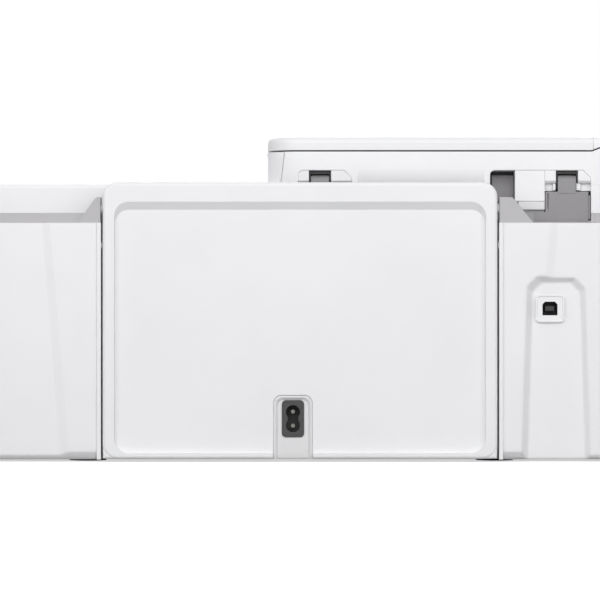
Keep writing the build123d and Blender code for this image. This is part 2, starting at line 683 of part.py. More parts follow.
# The idler meets the gears of both paper rollers, and the pinion meets the idler
GEAR_X = PLATE_X + PLATE_T + SLIDE_GAP
span_y = FEED_AT[0] - EXIT_AT[0]
span_z = FEED_AT[1] - EXIT_AT[1]
gear_span = math.hypot(span_y, span_z)
idler_reach = FEED_GEAR_R + IDLER_GEAR_R + GEAR_GAP
idler_drop = math.sqrt(idler_reach ** 2 - (gear_span / 2) ** 2)
IDLER_AT = (
    (FEED_AT[0] + EXIT_AT[0]) / 2 + idler_drop * span_z / gear_span,
    (FEED_AT[1] + EXIT_AT[1]) / 2 - idler_drop * span_y / gear_span,
)
pinion_reach = IDLER_GEAR_R + PINION_R + GEAR_GAP
PINION_ANGLE = math.radians(200.0)
PINION_AT = (
    IDLER_AT[0] + pinion_reach * math.cos(PINION_ANGLE),
    IDLER_AT[1] + pinion_reach * math.sin(PINION_ANGLE),
)


def gear(tip, bore):
    """A spur gear along X, with its middle at the origin."""
    teeth = int(tip * 1.6)
    root = tip - TOOTH_H
    points = []
    for tooth in range(teeth):
        for offset, radius in ((0.0, tip), (0.22, tip), (0.42, root), (0.80, root)):
            angle = 2 * math.pi * (tooth + offset) / teeth
            points.append((radius * math.cos(angle), radius * math.sin(angle)))
    form = prism(points, "x", (0, GEAR_WIDTH))
    if bore:
        form -= rod("x", (0, 0), bore, (-1, GEAR_WIDTH + 1))
    return form


def feed_frame():
    """The two side plates that carry the rollers, tied by a bar."""
    plate_y = (EXIT_AT[0] - 14, RAMP_TOP[0] - 23.5)
    form = block(around(0, PLATE_X + 1), (FEED_AT[0] + 22, FEED_AT[0] + 28), (FLOOR_Z + 28, FLOOR_Z + 38))
    for side in (-1, 1):
        x = on_side(side, PLATE_X, PLATE_X + PLATE_T)
        form += block(x, plate_y, (FLOOR_Z, CARRIAGE_Z[0] + 19))
        form += block(on_side(side, PLATE_X - 8, PLATE_X + PLATE_T), plate_y, (FLOOR_Z, FLOOR_Z + 2))
    # Room for the ink nozzles over the plates, and for the carriage and its rail
    form -= block((-FAR, FAR), (EXIT_AT[0] - 28, FEED_AT[0] - 7), (PLATEN_Z[1] + 2.5, FAR))
    form -= block((-FAR, FAR), (EXIT_AT[0] - 28, CARRIAGE_Y[1] + 20), (CARRIAGE_Z[0] - 1.5, FAR))
    # A slot for a tongue of the chassis
    form -= block((-FAR, FAR), (EXIT_AT[0] + 2, FEED_AT[0] + 18), (FLOOR_Z + 1.6, FLOOR_Z + 9.6))
    for at in (FEED_AT, EXIT_AT, PICK_AT):
        form -= rod("x", at, SHAFT_R + RUN_FIT, (-FAR, FAR))
    form += rod("x", IDLER_AT, IDLER_PIN_R, (PLATE_X, GEAR_X + GEAR_WIDTH + 1))
    return form - rod("x", PINION_AT, 2 * MOTOR_SHAFT_R, (PLATE_X - 1, PLATE_X + PLATE_T + 1))


def roller(at, radius, places, width, has_gear):
    form = rod("x", at, SHAFT_R, (-PLATE_X - PLATE_T - 3, GEAR_X + GEAR_WIDTH))
    for place in places:
        form += rod("x", at, radius, around(place, width / 2))
    if has_gear:
        form += Pos(GEAR_X, at[0], at[1]) * gear(FEED_GEAR_R, 0)
    return form


def platen():
    form = block(around(0, PLATE_X), PLATEN_Y, (PLATEN_Z[0], PLATEN_Z[1] - 2))
    for step in range(-11, 12):
        form += block(around(step * 10, 0.8), PLATEN_Y, (PLATEN_Z[1] - 3, PLATEN_Z[1]))
    return form


def feed_motor():
    can = rod("x", PINION_AT, FEED_MOTOR_R, (PLATE_X - FEED_MOTOR_L, PLATE_X))
    return can + rod("x", PINION_AT, MOTOR_SHAFT_R, (PLATE_X - 1, GEAR_X + GEAR_WIDTH))


def motor_pinion():
    return Pos(GEAR_X, *PINION_AT) * gear(PINION_R, MOTOR_SHAFT_R + RUN_FIT)


def feed_idler_gear():
    return Pos(GEAR_X, *IDLER_AT) * gear(IDLER_GEAR_R, IDLER_PIN_R + RUN_FIT)


def carriage_rail():
    """The round rail that the ink carriage slides on, with its end brackets."""
    form = rod("x", RAIL_AT, RAIL_R, around(0, RAIL_END_X))
    for side in (-1, 1):
        upright = on_side(side, RAIL_END_X - UPRIGHT_T, RAIL_END_X)
        form += block(upright, UPRIGHT_Y, (FLOOR_Z, RAIL_AT[1] + 10))
        shelf = on_side(side, PULLEY_X - 16, RAIL_END_X - 1)
        form += block(shelf, (UPRIGHT_Y[0] + 6, UPRIGHT_Y[1]), MOTOR_PLATE_Z)
        form += block(on_side(side, RAIL_END_X - 14, RAIL_END_X), UPRIGHT_Y, (FLOOR_Z, FLOOR_Z + 2))
    form -= rod("z", (-PULLEY_X, PULLEY_Y), 4.0, MOTOR_PLATE_Z)
    return form + rod("z", (PULLEY_X, PULLEY_Y), MOTOR_SHAFT_R, (MOTOR_PLATE_Z[0] + 0.5, BELT_Z[1] + 3))


def carriage_motor():
    at = (-PULLEY_X, PULLEY_Y)
    can = rod("z", at, CARRIAGE_MOTOR_R, (MOTOR_PLATE_Z[0] - CARRIAGE_MOTOR_H, MOTOR_PLATE_Z[0]))
    return can + rod("z", at, MOTOR_SHAFT_R, (MOTOR_PLATE_Z[0] - 1, BELT_Z[1] + 3))


def pulley(side):
    """A belt pulley with a flange on each side of the belt."""
    at = (side * PULLEY_X, PULLEY_Y)
    bottom = MOTOR_PLATE_Z[1] + SLIDE_GAP
    top = BELT_Z[1] + 2
    form = rod("z", at, PULLEY_R, (bottom, top))
    form += rod("z", at, PULLEY_R + PULLEY_FLANGE, (bottom, BELT_Z[0] - SLIDE_GAP))
    form += rod("z", at, PULLEY_R + PULLEY_FLANGE, (BELT_Z[1] + SLIDE_GAP, top))
    return form - rod("z", at, MOTOR_SHAFT_R + RUN_FIT, (0, FAR))


def carriage_belt():
    def loop(radius):
        width = 2 * (PULLEY_X + radius)
        return Pos(0, PULLEY_Y, BELT_Z[0]) * extrude(SlotOverall(width, 2 * radius), BELT_Z[1] - BELT_Z[0])
    inner = PULLEY_R + 0.1
    return loop(inner + BELT_T) - loop(inner)


def carriage():
    form = block(around(0, CARRIAGE_X), CARRIAGE_Y, CARRIAGE_Z)
    for bay in BAY_X:
        form -= block(bay, BAY_Y, (BAY_BOTTOM, FAR))
        form -= block(grow(bay, -9), (BAY_Y[0] + 21, BAY_Y[0] + 37), (0, FAR))
    form += block((-30, 30), (CARRIAGE_Y[1] - 1, RAIL_AT[0]), around(RAIL_AT[1], 6))
    form += rod("x", RAIL_AT, RAIL_R + 2.5, (-30, 30))
    return form - rod("x", RAIL_AT, RAIL_R + RUN_FIT, (-FAR, FAR))


def cartridge(bay):
    """An ink cartridge, with its nozzles below and a lip to press it out by."""
    form = block(grow(bay, -0.4), grow(BAY_Y, -0.4), (BAY_BOTTOM, CARRIAGE_Z[1] - 2))
    form += block(grow(bay, -9.5), (BAY_Y[0] + 21.5, BAY_Y[0] + 36.5), (PLATEN_Z[1] + 4, BAY_BOTTOM + 1))
    return form + block(grow(bay, -10), (BAY_Y[0] + 4, BAY_Y[0] + 14), (CARRIAGE_Z[1] - 3, CARRIAGE_Z[1] + 2))


def power_supply():
    return block(SUPPLY_X, SUPPLY_Y, (FLOOR_Z, SUPPLY_TOP))


def main_board():
    form = block(BOARD_X, BOARD_Y, (BOARD_TOP - BOARD_T, BOARD_TOP))
    chip_x = (BOARD_X[0] + 10, BOARD_X[0] + 30)
    return form + block(chip_x, (BOARD_Y[0] + 10, BOARD_Y[0] + 30), (BOARD_TOP - 0.5, BOARD_TOP + 3))


def power_inlet():
    """The two-pin inlet, with its figure-of-eight recess."""
    form = upright_slab(
        around(INLET_X, INLET_W / 2),
        around(INLET_Z, INLET_H / 2),
        (POCKET_WALL_Y - 9, RECESS_FLOOR_Y - 0.6),
        INLET_R,
    )
    deep = (RECESS_FLOOR_Y - INLET_DEEP, FAR)
    for side in (-1, 1):
        form -= rod("y", (INLET_X, INLET_Z + side * 4.0), INLET_BORE_R, deep)
    return form - block(around(INLET_X, 3.2), deep, around(INLET_Z, 4.0))


def inlet_pins():
    pins = []
    for side in (-1, 1):
        at = (INLET_X, INLET_Z + side * INLET_PIN_GAP / 2)
        pins.append(rod("y", at, INLET_PIN_R, (RECESS_FLOOR_Y - INLET_DEEP, RECESS_FLOOR_Y - 3)))
    return pins[0] + pins[1]


def usb_socket():
    """The square data socket, its raised frame and the tongue inside."""
    floor = FACE_Y - USB_WELL_DEPTH
    form = upright_slab(
        around(USB_X, USB_PLATE_W / 2),
        around(USB_Z, USB_PLATE_H / 2),
        (floor, floor + USB_PLATE_T),
        3.0,
    )
    shell_x = around(USB_X, USB_OPENING[0] / 2 + USB_SHELL)
    shell_z = around(USB_Z, USB_OPENING[1] / 2 + USB_SHELL)
    form += block(shell_x, (floor - USB_DEEP, floor + 0.5), shell_z)
    opening = extrude(Rectangle(USB_OPENING[0], USB_OPENING[1]), 20)
    opening = chamfer(opening.edges().filter_by(Axis.Z).group_by(Axis.Y)[-1], 1.6)
    form -= Pos(USB_X, floor + 21 - USB_DEEP, USB_Z) * Rot(90, 0, 0) * opening
    return form + block(around(USB_X, 2.8), (floor + 1 - USB_DEEP, floor - 1.5), around(USB_Z, 1.5))


def feet():
    pads = [Pos(x, y, FOOT_H / 2) * Cylinder(FOOT_R, FOOT_H) for x, y in FEET_AT]
    return pads[0] + pads[1:]


def case_screws():
    heads = []
    for x, y in SCREW_PLACES:
        head = Pos(x, y, FOOT_H - SCREW_HEAD_H / 2) * Cylinder(SCREW_HEAD_R, SCREW_HEAD_H)
        head -= Pos(x, y, FOOT_H - SCREW_HEAD_H) * Box(4.0, 0.9, 0.9)
        head -= Pos(x, y, FOOT_H - SCREW_HEAD_H) * Box(0.9, 4.0, 0.9)
        heads.append(head)
    return heads[0] + heads[1:]


def output_tray():
    """The tray that slides out for printed sheets, with side rails for its extension."""
    half = OUTPUT_HALF_W - SLIDE_GAP
    front = OUTPUT_TRAY_Y[0]
    form = block(around(0, half), OUTPUT_TRAY_Y, OUTPUT_TRAY_Z)
    for side in (-1, 1):
        lip = on_side(side, EXTENSION_HALF_W, half)
        form += block(lip, (front, front + 3), (OUTPUT_TRAY_Z[0], OUTPUT_TRAY_Z[1] + 6))
        rail = on_side(side, EXTENSION_HALF_W, EXTENSION_HALF_W + 2)
        rail_y = (front + 10, OUTPUT_TRAY_Y[1] - 8)
        form += block(rail, rail_y, (OUTPUT_TRAY_Z[1] - 0.5, OUTPUT_TRAY_Z[1] + 2))
    return form


def output_extension():
    """The tray's own extension, with a lip that stops the sheets."""
    z = (OUTPUT_TRAY_Z[1] + SLIDE_GAP, OUTPUT_TRAY_Z[1] + SLIDE_GAP + 2)
    form = block(around(0, EXTENSION_HALF_W - SLIDE_GAP), EXTENSION_Y, z)
    form += block((-30, 30), (EXTENSION_Y[0], EXTENSION_Y[0] + 3), (z[0], z[1] + 8))
    return form


def access_door():
    x = around(0, DOOR_HALF_W)
    hinge = (FRONT_Y + DOOR_BARREL_R, DOOR_HINGE_Z)
    form = block(x, (FRONT_Y, FRONT_Y + WALL), (DOOR_HINGE_Z, DOOR_TOP))
    form += rod("x", hinge, DOOR_BARREL_R, x)
    form += rod("x", hinge, DOOR_PIN_R, grow(x, 3.5))
    # A shallow place for a fingertip at the top edge
    return form - rod("y", (0, DOOR_TOP + 3), 14.0, (FRONT_Y - 1, FRONT_Y + 1.4))


def control_panel():
    form = Pos(0, 0, PANEL_T / 2) * Box(PANEL_W, PANEL_H, PANEL_T)
    form = fillet(form.edges().filter_by(Axis.Z), 6.0)
    form = chamfer(form.faces().sort_by(Axis.Z)[-1].edges(), 0.6)
    form -= Pos(0, 0, PANEL_T) * Box(DISPLAY_W, DISPLAY_H, 2 * DISPLAY_T)
    window = (DISPLAY_W - 2 * DISPLAY_LEDGE, DISPLAY_H - 2 * DISPLAY_LEDGE)
    form -= Pos(0, 0, PANEL_T / 2) * Box(*window, 2 * PANEL_T)
    for at in BUTTONS.values():
        form -= Pos(at[0], at[1], 0) * Cylinder(BUTTON_R + BUTTON_GAP, 10)
    return on_slope(form)


def display_window():
    return on_slope(Pos(0, 0, PANEL_T - DISPLAY_T / 2) * Box(DISPLAY_W, DISPLAY_H, DISPLAY_T))


def button(at):
    """A round button with a flange that keeps it under the panel."""
    height = PANEL_T + BUTTON_PROUD + 1.2
    cap = Pos(0, 0, height / 2 - 1.2) * Cylinder(BUTTON_R, height)
    cap = fillet(cap.faces().sort_by(Axis.Z)[-1].edges(), 0.6)
    flange = Pos(0, 0, -0.9) * Cylinder(BUTTON_R + BUTTON_FLANGE, 1.2)
    return on_slope(Pos(at[0], at[1], 0) * (cap + flange))


def leg_neck(at):
    """The neck of a hinge leg, rounded over at the top round the pin."""
    x = around(at, NECK_W / 2)
    rear = HINGE_Y + KNUCKLE_R - 0.3
    form = block(x, (HINGE_Y - KNUCKLE_R, rear), (LEG_SHOULDER - 1, HINGE_Z))
    return form + (rod("x", (HINGE_Y, HINGE_Z), KNUCKLE_R, x) & block(x, (0, rear), (0, FAR)))


def hinge_leg(at):
    bottom = CASE_TOP + MID_PLATE
    form = block(around(at, LEG_W / 2), LEG_Y, (bottom, LEG_SHOULDER))
    form += block(around(at, STEM_W / 2), STEM_Y, (STEM_BOTTOM, bottom + 1))
    form += leg_neck(at)
    if at == LEG_X[1]:
        edge = at + LEG_W / 2
        form += block((edge - 1, edge + LEG_FOOT_W), LEG_Y, (bottom, bottom + LEG_FOOT_H))
        # A narrow groove down the edge of the leg
        form -= block((edge - 1.9, edge - 1.1), (LEG_Y[1] - 1.2, FAR), (bottom + 7, LEG_SHOULDER - 1))
    return form - rod("x", (HINGE_Y, HINGE_Z), HINGE_PIN_R + RUN_FIT, around(at, LEG_W))


def hinge_yokes():
    """Black cheeks on both sides of each neck, joined over the top, with the pin."""
    yokes = []
    for at in LEG_X:
        half = NECK_W / 2 + SLIDE_GAP
        yoke = block(around(at, half + YOKE_T), YOKE_Y, (LEG_SHOULDER + 2.1, YOKE_TOP))
        yoke -= block(around(at, half), (0, FAR), (0, HINGE_Z + KNUCKLE_R + 0.8))
        yoke += rod("x", (HINGE_Y, HINGE_Z), HINGE_PIN_R, around(at, half + 1))
        yokes.append(yoke)
    return yokes[0] + yokes[1]


def hinge_pockets(shape):
    """Cuts the pockets for the hinge legs, the yokes and the cable into a lid piece."""
    for at, span in zip(LEG_X, POCKETS_X):
        shape -= block(span, (LEG_POCKET_Y, FAR), (0, WING_BOTTOM))
        shape -= block(span, (WING_Y, FAR), (0, LEG_POCKET_TOP))
        cheeks = around(at, NECK_W / 2 + SLIDE_GAP + YOKE_T)
        shape -= block(cheeks, (LEG_POCKET_Y, YOKE_Y[1]), (0, YOKE_TOP))
        shape -= block(around(at, NECK_W / 2 + NECK_GAP), (LEG_POCKET_Y, FAR), (0, YOKE_TOP))
        # A soft edge along the pocket's ceiling
        ceiling = [
            (LID_REAR_Y - PANEL_IN - CEILING_CHAMFER, LEG_POCKET_TOP - 1),
            (LID_REAR_Y - PANEL_IN - CEILING_CHAMFER, LEG_POCKET_TOP),
            (LID_REAR_Y + 1, LEG_POCKET_TOP + 1 + PANEL_IN + CEILING_CHAMFER),
            (LID_REAR_Y + 1, LEG_POCKET_TOP - 1),
        ]
        shape -= prism(ceiling, "x", span)
        shape -= pocket_panel(span)
    # The cable's part of the wide pocket goes up to its ceiling
    left = POCKETS_X[1][1]
    room = block((CABLE_COVER_X[0] - 0.1, left), (LEG_POCKET_Y, FAR), (0, YOKE_TOP))
    corner = room.edges().filter_by(Axis.Y).group_by(Axis.X)[-1].sort_by(Axis.Z)[-1]
    return shape - fillet(corner, POCKET_CORNER_R)


def pocket_panel(span):
    """A slightly sunken field over a pocket, with cut upper corners."""
    top = YOKE_TOP + 0.3
    outline = [
        (span[0] + 0.3, LEG_POCKET_TOP - 1),
        (span[0] + 0.3, top - 4.6),
        (span[0] + 4.9, top),
        (span[1] - 2.6, top),
        (span[1] - 0.2, top - 1.7),
        (span[1] - 0.2, LEG_POCKET_TOP - 1),
    ]
    return prism(outline, "y", (LID_REAR_Y - PANEL_IN, LID_REAR_Y + 1))


def rear_undercut(shape):
    """Draws the rear wall in below the feeder, in a gentle curve."""
    start = YOKE_TOP + 0.4
    foot = UNDERCUT_R - math.sqrt(UNDERCUT_R ** 2 - (start - SHELF_TOP) ** 2)
    curved = block(UNDERCUT_X, (LID_REAR_Y - 3, LID_REAR_Y + 1), (SHELF_TOP, start))
    curved -= rod("x", (LID_REAR_Y - UNDERCUT_R, start), UNDERCUT_R, UNDERCUT_X)
    straight = block(UNDERCUT_X, (LID_REAR_Y - foot, LID_REAR_Y + 1), (0, SHELF_TOP))
    return shape - curved - straight


def lid_form(x, y, z, inset):
    return rounded_block(grow(x, -inset), grow(y, -inset), z, CORNER_R - inset)


def lid_frame():
    x = around(0, HALF_W)
    y = (LID_FRONT_Y, LID_REAR_Y)
    form = lid_form(x, y, (LID_BOTTOM, SHELF_TOP), 0)
    form = fillet(form.faces().sort_by(Axis.Z)[-1].edges(), LID_EDGE_R)
    # The edge stays square where the feeder stands on it
    form += lid_form((-HALF_W, FEEDER_RIGHT_X), y, (SHELF_TOP - LID_EDGE_R - 1, SHELF_TOP), 0)
    inside_y = (LID_FRONT_Y + LID_WALL, LEG_POCKET_Y - LID_WALL)
    form -= rounded_block(grow(x, -LID_WALL), inside_y, (0, SHELF_TOP - LID_WALL), LID_INNER_R)
    rib_z = (SHELF_TOP - LID_WALL - LID_RIB_H, SHELF_TOP - 1)
    for at in LID_RIBS_X:
        form += block(around(at, 1), (LID_FRONT_Y + 1, LEG_POCKET_Y - 1), rib_z)
    form = rear_undercut(form)
    return hinge_pockets(form)


def lid_pad():
    """The white inner plate of the lid, with the pad that presses on the glass."""
    form = rounded_block(
        around(0, HALF_W - LID_WALL - SEAM),
        (LID_FRONT_Y + LID_WALL + SEAM, LEG_POCKET_Y - LID_WALL - SEAM),
        (LID_BOTTOM + 0.6, LID_BOTTOM + 4),
        LID_INNER_R - SEAM,
    )
    pad_x = (ADF_GLASS_X[0] - 3, GLASS_X[1] + 3)
    return form + block(pad_x, grow(GLASS_Y, 3), (DECK_TOP + 0.1, LID_BOTTOM + 1))


def under_seam(gap):
    """Everything below the covers' seam, which rises towards the roller cover."""
    low = SEAM_Z + gap
    high = low + SEAM_RISE
    outline = [
        (-HALF_W - 1, 0),
        (-HALF_W - 1, high),
        (SEAM_RISE_X[0], high),
        (SEAM_RISE_X[1], low),
        (FEEDER_RIGHT_X + 1, low),
        (FEEDER_RIGHT_X + 1, 0),
    ]
    return prism(outline, "y", (-FAR, FAR))


def cover_hinge(side):
    """The axis of a feeder cover and the end face next to it."""
    if side > 0:
        return (FEEDER_RIGHT_X - TOP_HINGE_INSET, SEAM_Z + COVER_SEAM / 2), FEEDER_RIGHT_X
    return (-HALF_W + ROLLER_HINGE_INSET, SEAM_Z + SEAM_RISE + COVER_SEAM / 2), -HALF_W


def adf_body():
    """The sheet feeder's housing, which stands on the lid's left part."""
    x = (-HALF_W, FEEDER_RIGHT_X)
    y = (LID_FRONT_Y, LID_REAR_Y)
    form = lid_form(x, y, (SHELF_TOP, HEIGHT), 0) & under_seam(0)
    inside_y = (LID_FRONT_Y + LID_WALL, LEG_POCKET_Y - LID_WALL)
    form -= rounded_block(grow(x, -LID_WALL), inside_y, (0, SHEET_FLOOR_Z - LID_WALL), LID_INNER_R)
    form -= block(SHEET_BED_X, SHEET_BED_Y, (SHEET_FLOOR_Z, FAR))
    form -= block((-HALF_W + 8, COVER_SPLIT_X - 4), (-100, 100), (0, FAR))
    form = rear_undercut(form)
    form = hinge_pockets(form)
    # The end of the housing is a moulding of its own, parted by a fine groove
    line = [
        (PART_LINE_X[0], SEAM_Z + 1),
        (PART_LINE_X[0] + 0.3, SEAM_Z + 1),
        (PART_LINE_X[1] + 0.3, SHELF_TOP - 1),
        (PART_LINE_X[1], SHELF_TOP - 1),
    ]
    form -= prism(line, "y", (LID_REAR_Y - 4.6, LID_REAR_Y + 1))
    for side in (1, -1):
        form = cover_lugs(form, side)
    # Bearings of the feed roller
    for side in (-1, 1):
        wall = on_side(side, *FEEDER_BEARING_Y)
        form += block((-HALF_W + 1, COVER_SPLIT_X - 3), wall, (SHELF_TOP, SHEET_FLOOR_Z - 1))
    return form - rod("y", FEEDER_ROLLER_AT, SHAFT_R + RUN_FIT, around(0, FEEDER_BEARING_Y[1] + 3))


def cover_lugs(form, side):
    """The lugs and pins of a cover's hinge, and room for its knuckles to turn."""
    axis, end = cover_hinge(side)
    room = COVER_KNUCKLE_R + SLIDE_GAP
    if side > 0:
        relief = [
            (end - 1.0, SEAM_Z + 0.1),
            (end - 1.0, SEAM_Z),
            (end, SEAM_Z - 1.3),
            (end + 1, SEAM_Z - 1.3),
            (end + 1, SEAM_Z + 0.1),
        ]
        form -= prism(relief, "y", (-FAR, FAR))
    else:
        form -= block((end - 1, axis[0]), (-FAR, FAR), (axis[1] - ROLLER_HINGE_INSET - 0.25, FAR))
    for middle in COVER_HINGES_Y:
        notch_x = sorted((axis[0] - side * room, end + side * room))
        form -= block(notch_x, around(middle, COVER_KNUCKLE_HALF + SLIDE_GAP), (axis[1] - room, FAR))
        half = COVER_KNUCKLE_HALF + SLIDE_GAP
        form += rod("y", axis, COVER_PIN_R, around(middle, half + 0.5))
        for step in (-1, 1):
            ends = sorted((middle + step * half, middle + step * (half + COVER_LUG_W)))
            form += rod("y", axis, COVER_KNUCKLE_R, ends)
            root = sorted((axis[0] - side * room, axis[0]))
            form += block(root, ends, (axis[1] - 3.5, axis[1]))
    return form


def feeder_cover(x, side):
    """A cover over part of the feeder, hinged at its outer end."""
    footprint = ((-HALF_W, FEEDER_RIGHT_X), (LID_FRONT_Y, LID_REAR_Y))
    form = lid_form(*footprint, (SHELF_TOP, HEIGHT), 0)
    form = fillet(form.faces().sort_by(Axis.Z)[-1].edges(), COVER_FILLET)
    form = (form - under_seam(COVER_SEAM)) & block(x, (-FAR, FAR), (0, FAR))
    inside = lid_form(*footprint, (0, HEIGHT - LID_WALL), COVER_SIDE)
    form -= inside & block(grow(x, -3), (-FAR, FAR), (0, FAR))
    axis, end = cover_hinge(side)
    bottom = axis[1] + COVER_SEAM / 2
    for middle in COVER_HINGES_Y:
        lug_room = around(middle, COVER_KNUCKLE_HALF + 2 * SLIDE_GAP + COVER_LUG_W)
        lug_x = sorted((axis[0] - side * 3, end + side))
        form -= block(lug_x, lug_room, (0, axis[1] + 1.6))
        arm_x = sorted((axis[0] - side * COVER_KNUCKLE_R, end))
        arm_y = around(middle, COVER_KNUCKLE_HALF)
        form += block(arm_x, arm_y, (axis[1], bottom + 1.8))
        form += rod("y", axis, COVER_KNUCKLE_R, arm_y)
        form -= rod("y", axis, COVER_PIN_R + RUN_FIT, grow(arm_y, 1))
    return form


def adf_roller():
    form = rod("y", FEEDER_ROLLER_AT, SHAFT_R, around(0, FEEDER_BEARING_Y[1] + 2))
    for middle in (-22.0, 22.0):
        form += rod("y", FEEDER_ROLLER_AT, FEEDER_ROLLER_R, around(middle, 11))
    return form


def sheet_guide(side):
    """A side guide on the feeder's bed, from its widest place."""
    z = SHEET_FLOOR_Z + SLIDE_GAP
    edge = SHEET_BED_Y[1] - 13.5 if side > 0 else SHEET_BED_Y[0] + 13.5
    fin = sorted((edge - side * 2.5, edge))
    base = sorted((edge - side * 18.5, edge))
    form = block((SHEET_BED_X[0] + 7, -60), fin, (z, z + 4.8))
    return form + block((SHEET_BED_X[0] + 22, -75), base, (z, z + 1.4))


def cable_cover():
    """The cover over the feeder's cable, with a sloping lip below it."""
    rear = LID_REAR_Y - 0.4
    form = block(CABLE_COVER_X, (rear - WALL, rear), CABLE_COVER_Z)
    form += block(CABLE_COVER_X, (LEG_POCKET_Y, rear - 1), (YOKE_TOP - 2, YOKE_TOP))
    lip = [
        (rear - WALL, CABLE_COVER_Z[0] + 0.5),
        (rear - WALL, CABLE_LIP_Z[0]),
        (rear - 1.2, CABLE_LIP_Z[0]),
        (rear, CABLE_LIP_Z[1]),
        (rear - 1.4, CABLE_LIP_Z[1]),
        (rear - 1.4, CABLE_COVER_Z[0] + 0.5),
    ]
    return form + prism(lip, "x", (CABLE_COVER_X[0], CABLE_COVER_X[1] - 2.2))


os.makedirs("parts", exist_ok=True)
write("main_case", main_case())
write("rear_case", rear_case())
write("bottom_chassis", bottom_chassis())
write("mid_frame", mid_frame())
write("scanner_deck", scanner_deck())
write("scanner_glass", glass(GLASS_X))
write("adf_glass", glass(ADF_GLASS_X))
write("scanner_tub", scanner_tub())
write("scan_rail", scan_rail())
write("scan_bar", scan_bar())
write("input_tray", input_tray())
write("paper_ramp", paper_ramp())
write("paper_guide_left", paper_guide(-1))
write("paper_guide_right", paper_guide(1))
write("feed_frame", feed_frame())
write("feed_roller", roller(FEED_AT, ROLLER_R, (-80, -27, 27, 80), 16, True))
write("exit_roller", roller(EXIT_AT, ROLLER_R, (-90, -30, 30, 90), 8, True))
write("pick_roller", roller(PICK_AT, PICK_R, (0,), PICK_W, False))
write("feed_idler_gear", feed_idler_gear())
write("motor_pinion", motor_pinion())
write("feed_motor", feed_motor())
write("platen", platen())
write("carriage_rail", carriage_rail())
write("carriage_motor", carriage_motor())
write("motor_pulley", pulley(-1))
write("idler_pulley", pulley(1))
write("carriage_belt", carriage_belt())
write("carriage", carriage())
write("black_cartridge", cartridge(BAY_X[0]))
write("colour_cartridge", cartridge(BAY_X[1]))
write("power_supply", power_supply())
write("main_board", main_board())
write("power_inlet", power_inlet())
write("inlet_pins", inlet_pins())
write("usb_socket", usb_socket())
write("feet", feet())
write("case_screws", case_screws())
write("output_tray", output_tray())
write("output_extension", output_extension())
write("access_door", access_door())
write("control_panel", control_panel())
write("display_window", display_window())
for name, place in BUTTONS.items():
    write(name, button(place))
write("left_hinge_leg", hinge_leg(LEG_X[0]))
write("right_hinge_leg", hinge_leg(LEG_X[1]))
write("hinge_yokes", hinge_yokes())
write("lid_frame", lid_frame())
write("lid_pad", lid_pad())
write("adf_body", adf_body())
write("adf_top_cover", feeder_cover((COVER_SPLIT_X + SEAM, FEEDER_RIGHT_X + 5), 1))
write("adf_roller_cover", feeder_cover((-HALF_W - 5, COVER_SPLIT_X - SEAM), -1))
write("adf_roller", adf_roller())
write("sheet_guide_front", sheet_guide(-1))
write("sheet_guide_rear", sheet_guide(1))
write("cable_cover", cable_cover())
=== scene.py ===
import bmesh
import bpy
import math
from mathutils import Matrix, Vector


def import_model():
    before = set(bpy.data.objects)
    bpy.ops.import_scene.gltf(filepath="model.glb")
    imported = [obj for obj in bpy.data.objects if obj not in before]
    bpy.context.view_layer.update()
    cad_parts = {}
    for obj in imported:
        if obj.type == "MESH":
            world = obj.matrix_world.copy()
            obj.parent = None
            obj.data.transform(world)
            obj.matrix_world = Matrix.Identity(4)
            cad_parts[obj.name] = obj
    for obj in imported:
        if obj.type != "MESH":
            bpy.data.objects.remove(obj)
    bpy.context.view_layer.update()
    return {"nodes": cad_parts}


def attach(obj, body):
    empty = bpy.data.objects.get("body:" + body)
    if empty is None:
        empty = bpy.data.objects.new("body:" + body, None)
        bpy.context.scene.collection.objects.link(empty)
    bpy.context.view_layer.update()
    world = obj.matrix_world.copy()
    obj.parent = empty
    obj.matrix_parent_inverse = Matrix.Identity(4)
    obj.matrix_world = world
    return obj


# A multifunction printer seen from the rear, dressed over its CAD frame. Metres, +Z up.

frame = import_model()
nodes = frame["nodes"]

# Camera: level, square to the rear, at a little under half the height of the printer
FRAME_PX = 600
METRES_PER_PX = 0.00061
TRAY_Y = 0.166
CAMERA_DISTANCE = 2.0
CAMERA_Z = 0.0991
SENSOR_MM = 36.0

# The sloping front that carries the control panel
SLOPE_BOTTOM = Vector((0, -0.166, 0.112))
SLOPE_TOP = Vector((0, -0.127, 0.1464))
BUTTON_TOP = 0.0032

# The two sockets at the rear: their middles, and half the width and height of their openings
USB_X = -0.153
USB_Z = 0.0939
USB_HALF = (0.00458, 0.00418)
USB_CORNER_CUT = 0.0016
INLET_X = 0.0043
INLET_Z = 0.0265
INLET_HALF = (0.0068, 0.01135)
INLET_CORNER_R = 0.0025

# The paper tray at the rear: half its width, its lower edge, its face and its rounded corners
TRAY_HALF_W = 0.1205
TRAY_FOOT_Z = 0.002
TRAY_BACK_Y = 0.1504
TRAY_FACE_Y = 0.1653
TRAY_CORNER_R = 0.009


# Materials

def new_material(name):
    material = bpy.data.materials.new(name)
    material.use_nodes = True
    tree = material.node_tree
    tree.nodes.clear()
    out = tree.nodes.new("ShaderNodeOutputMaterial")
    shader = tree.nodes.new("ShaderNodeBsdfPrincipled")
    tree.links.new(shader.outputs[0], out.inputs[0])
    return material, tree, shader


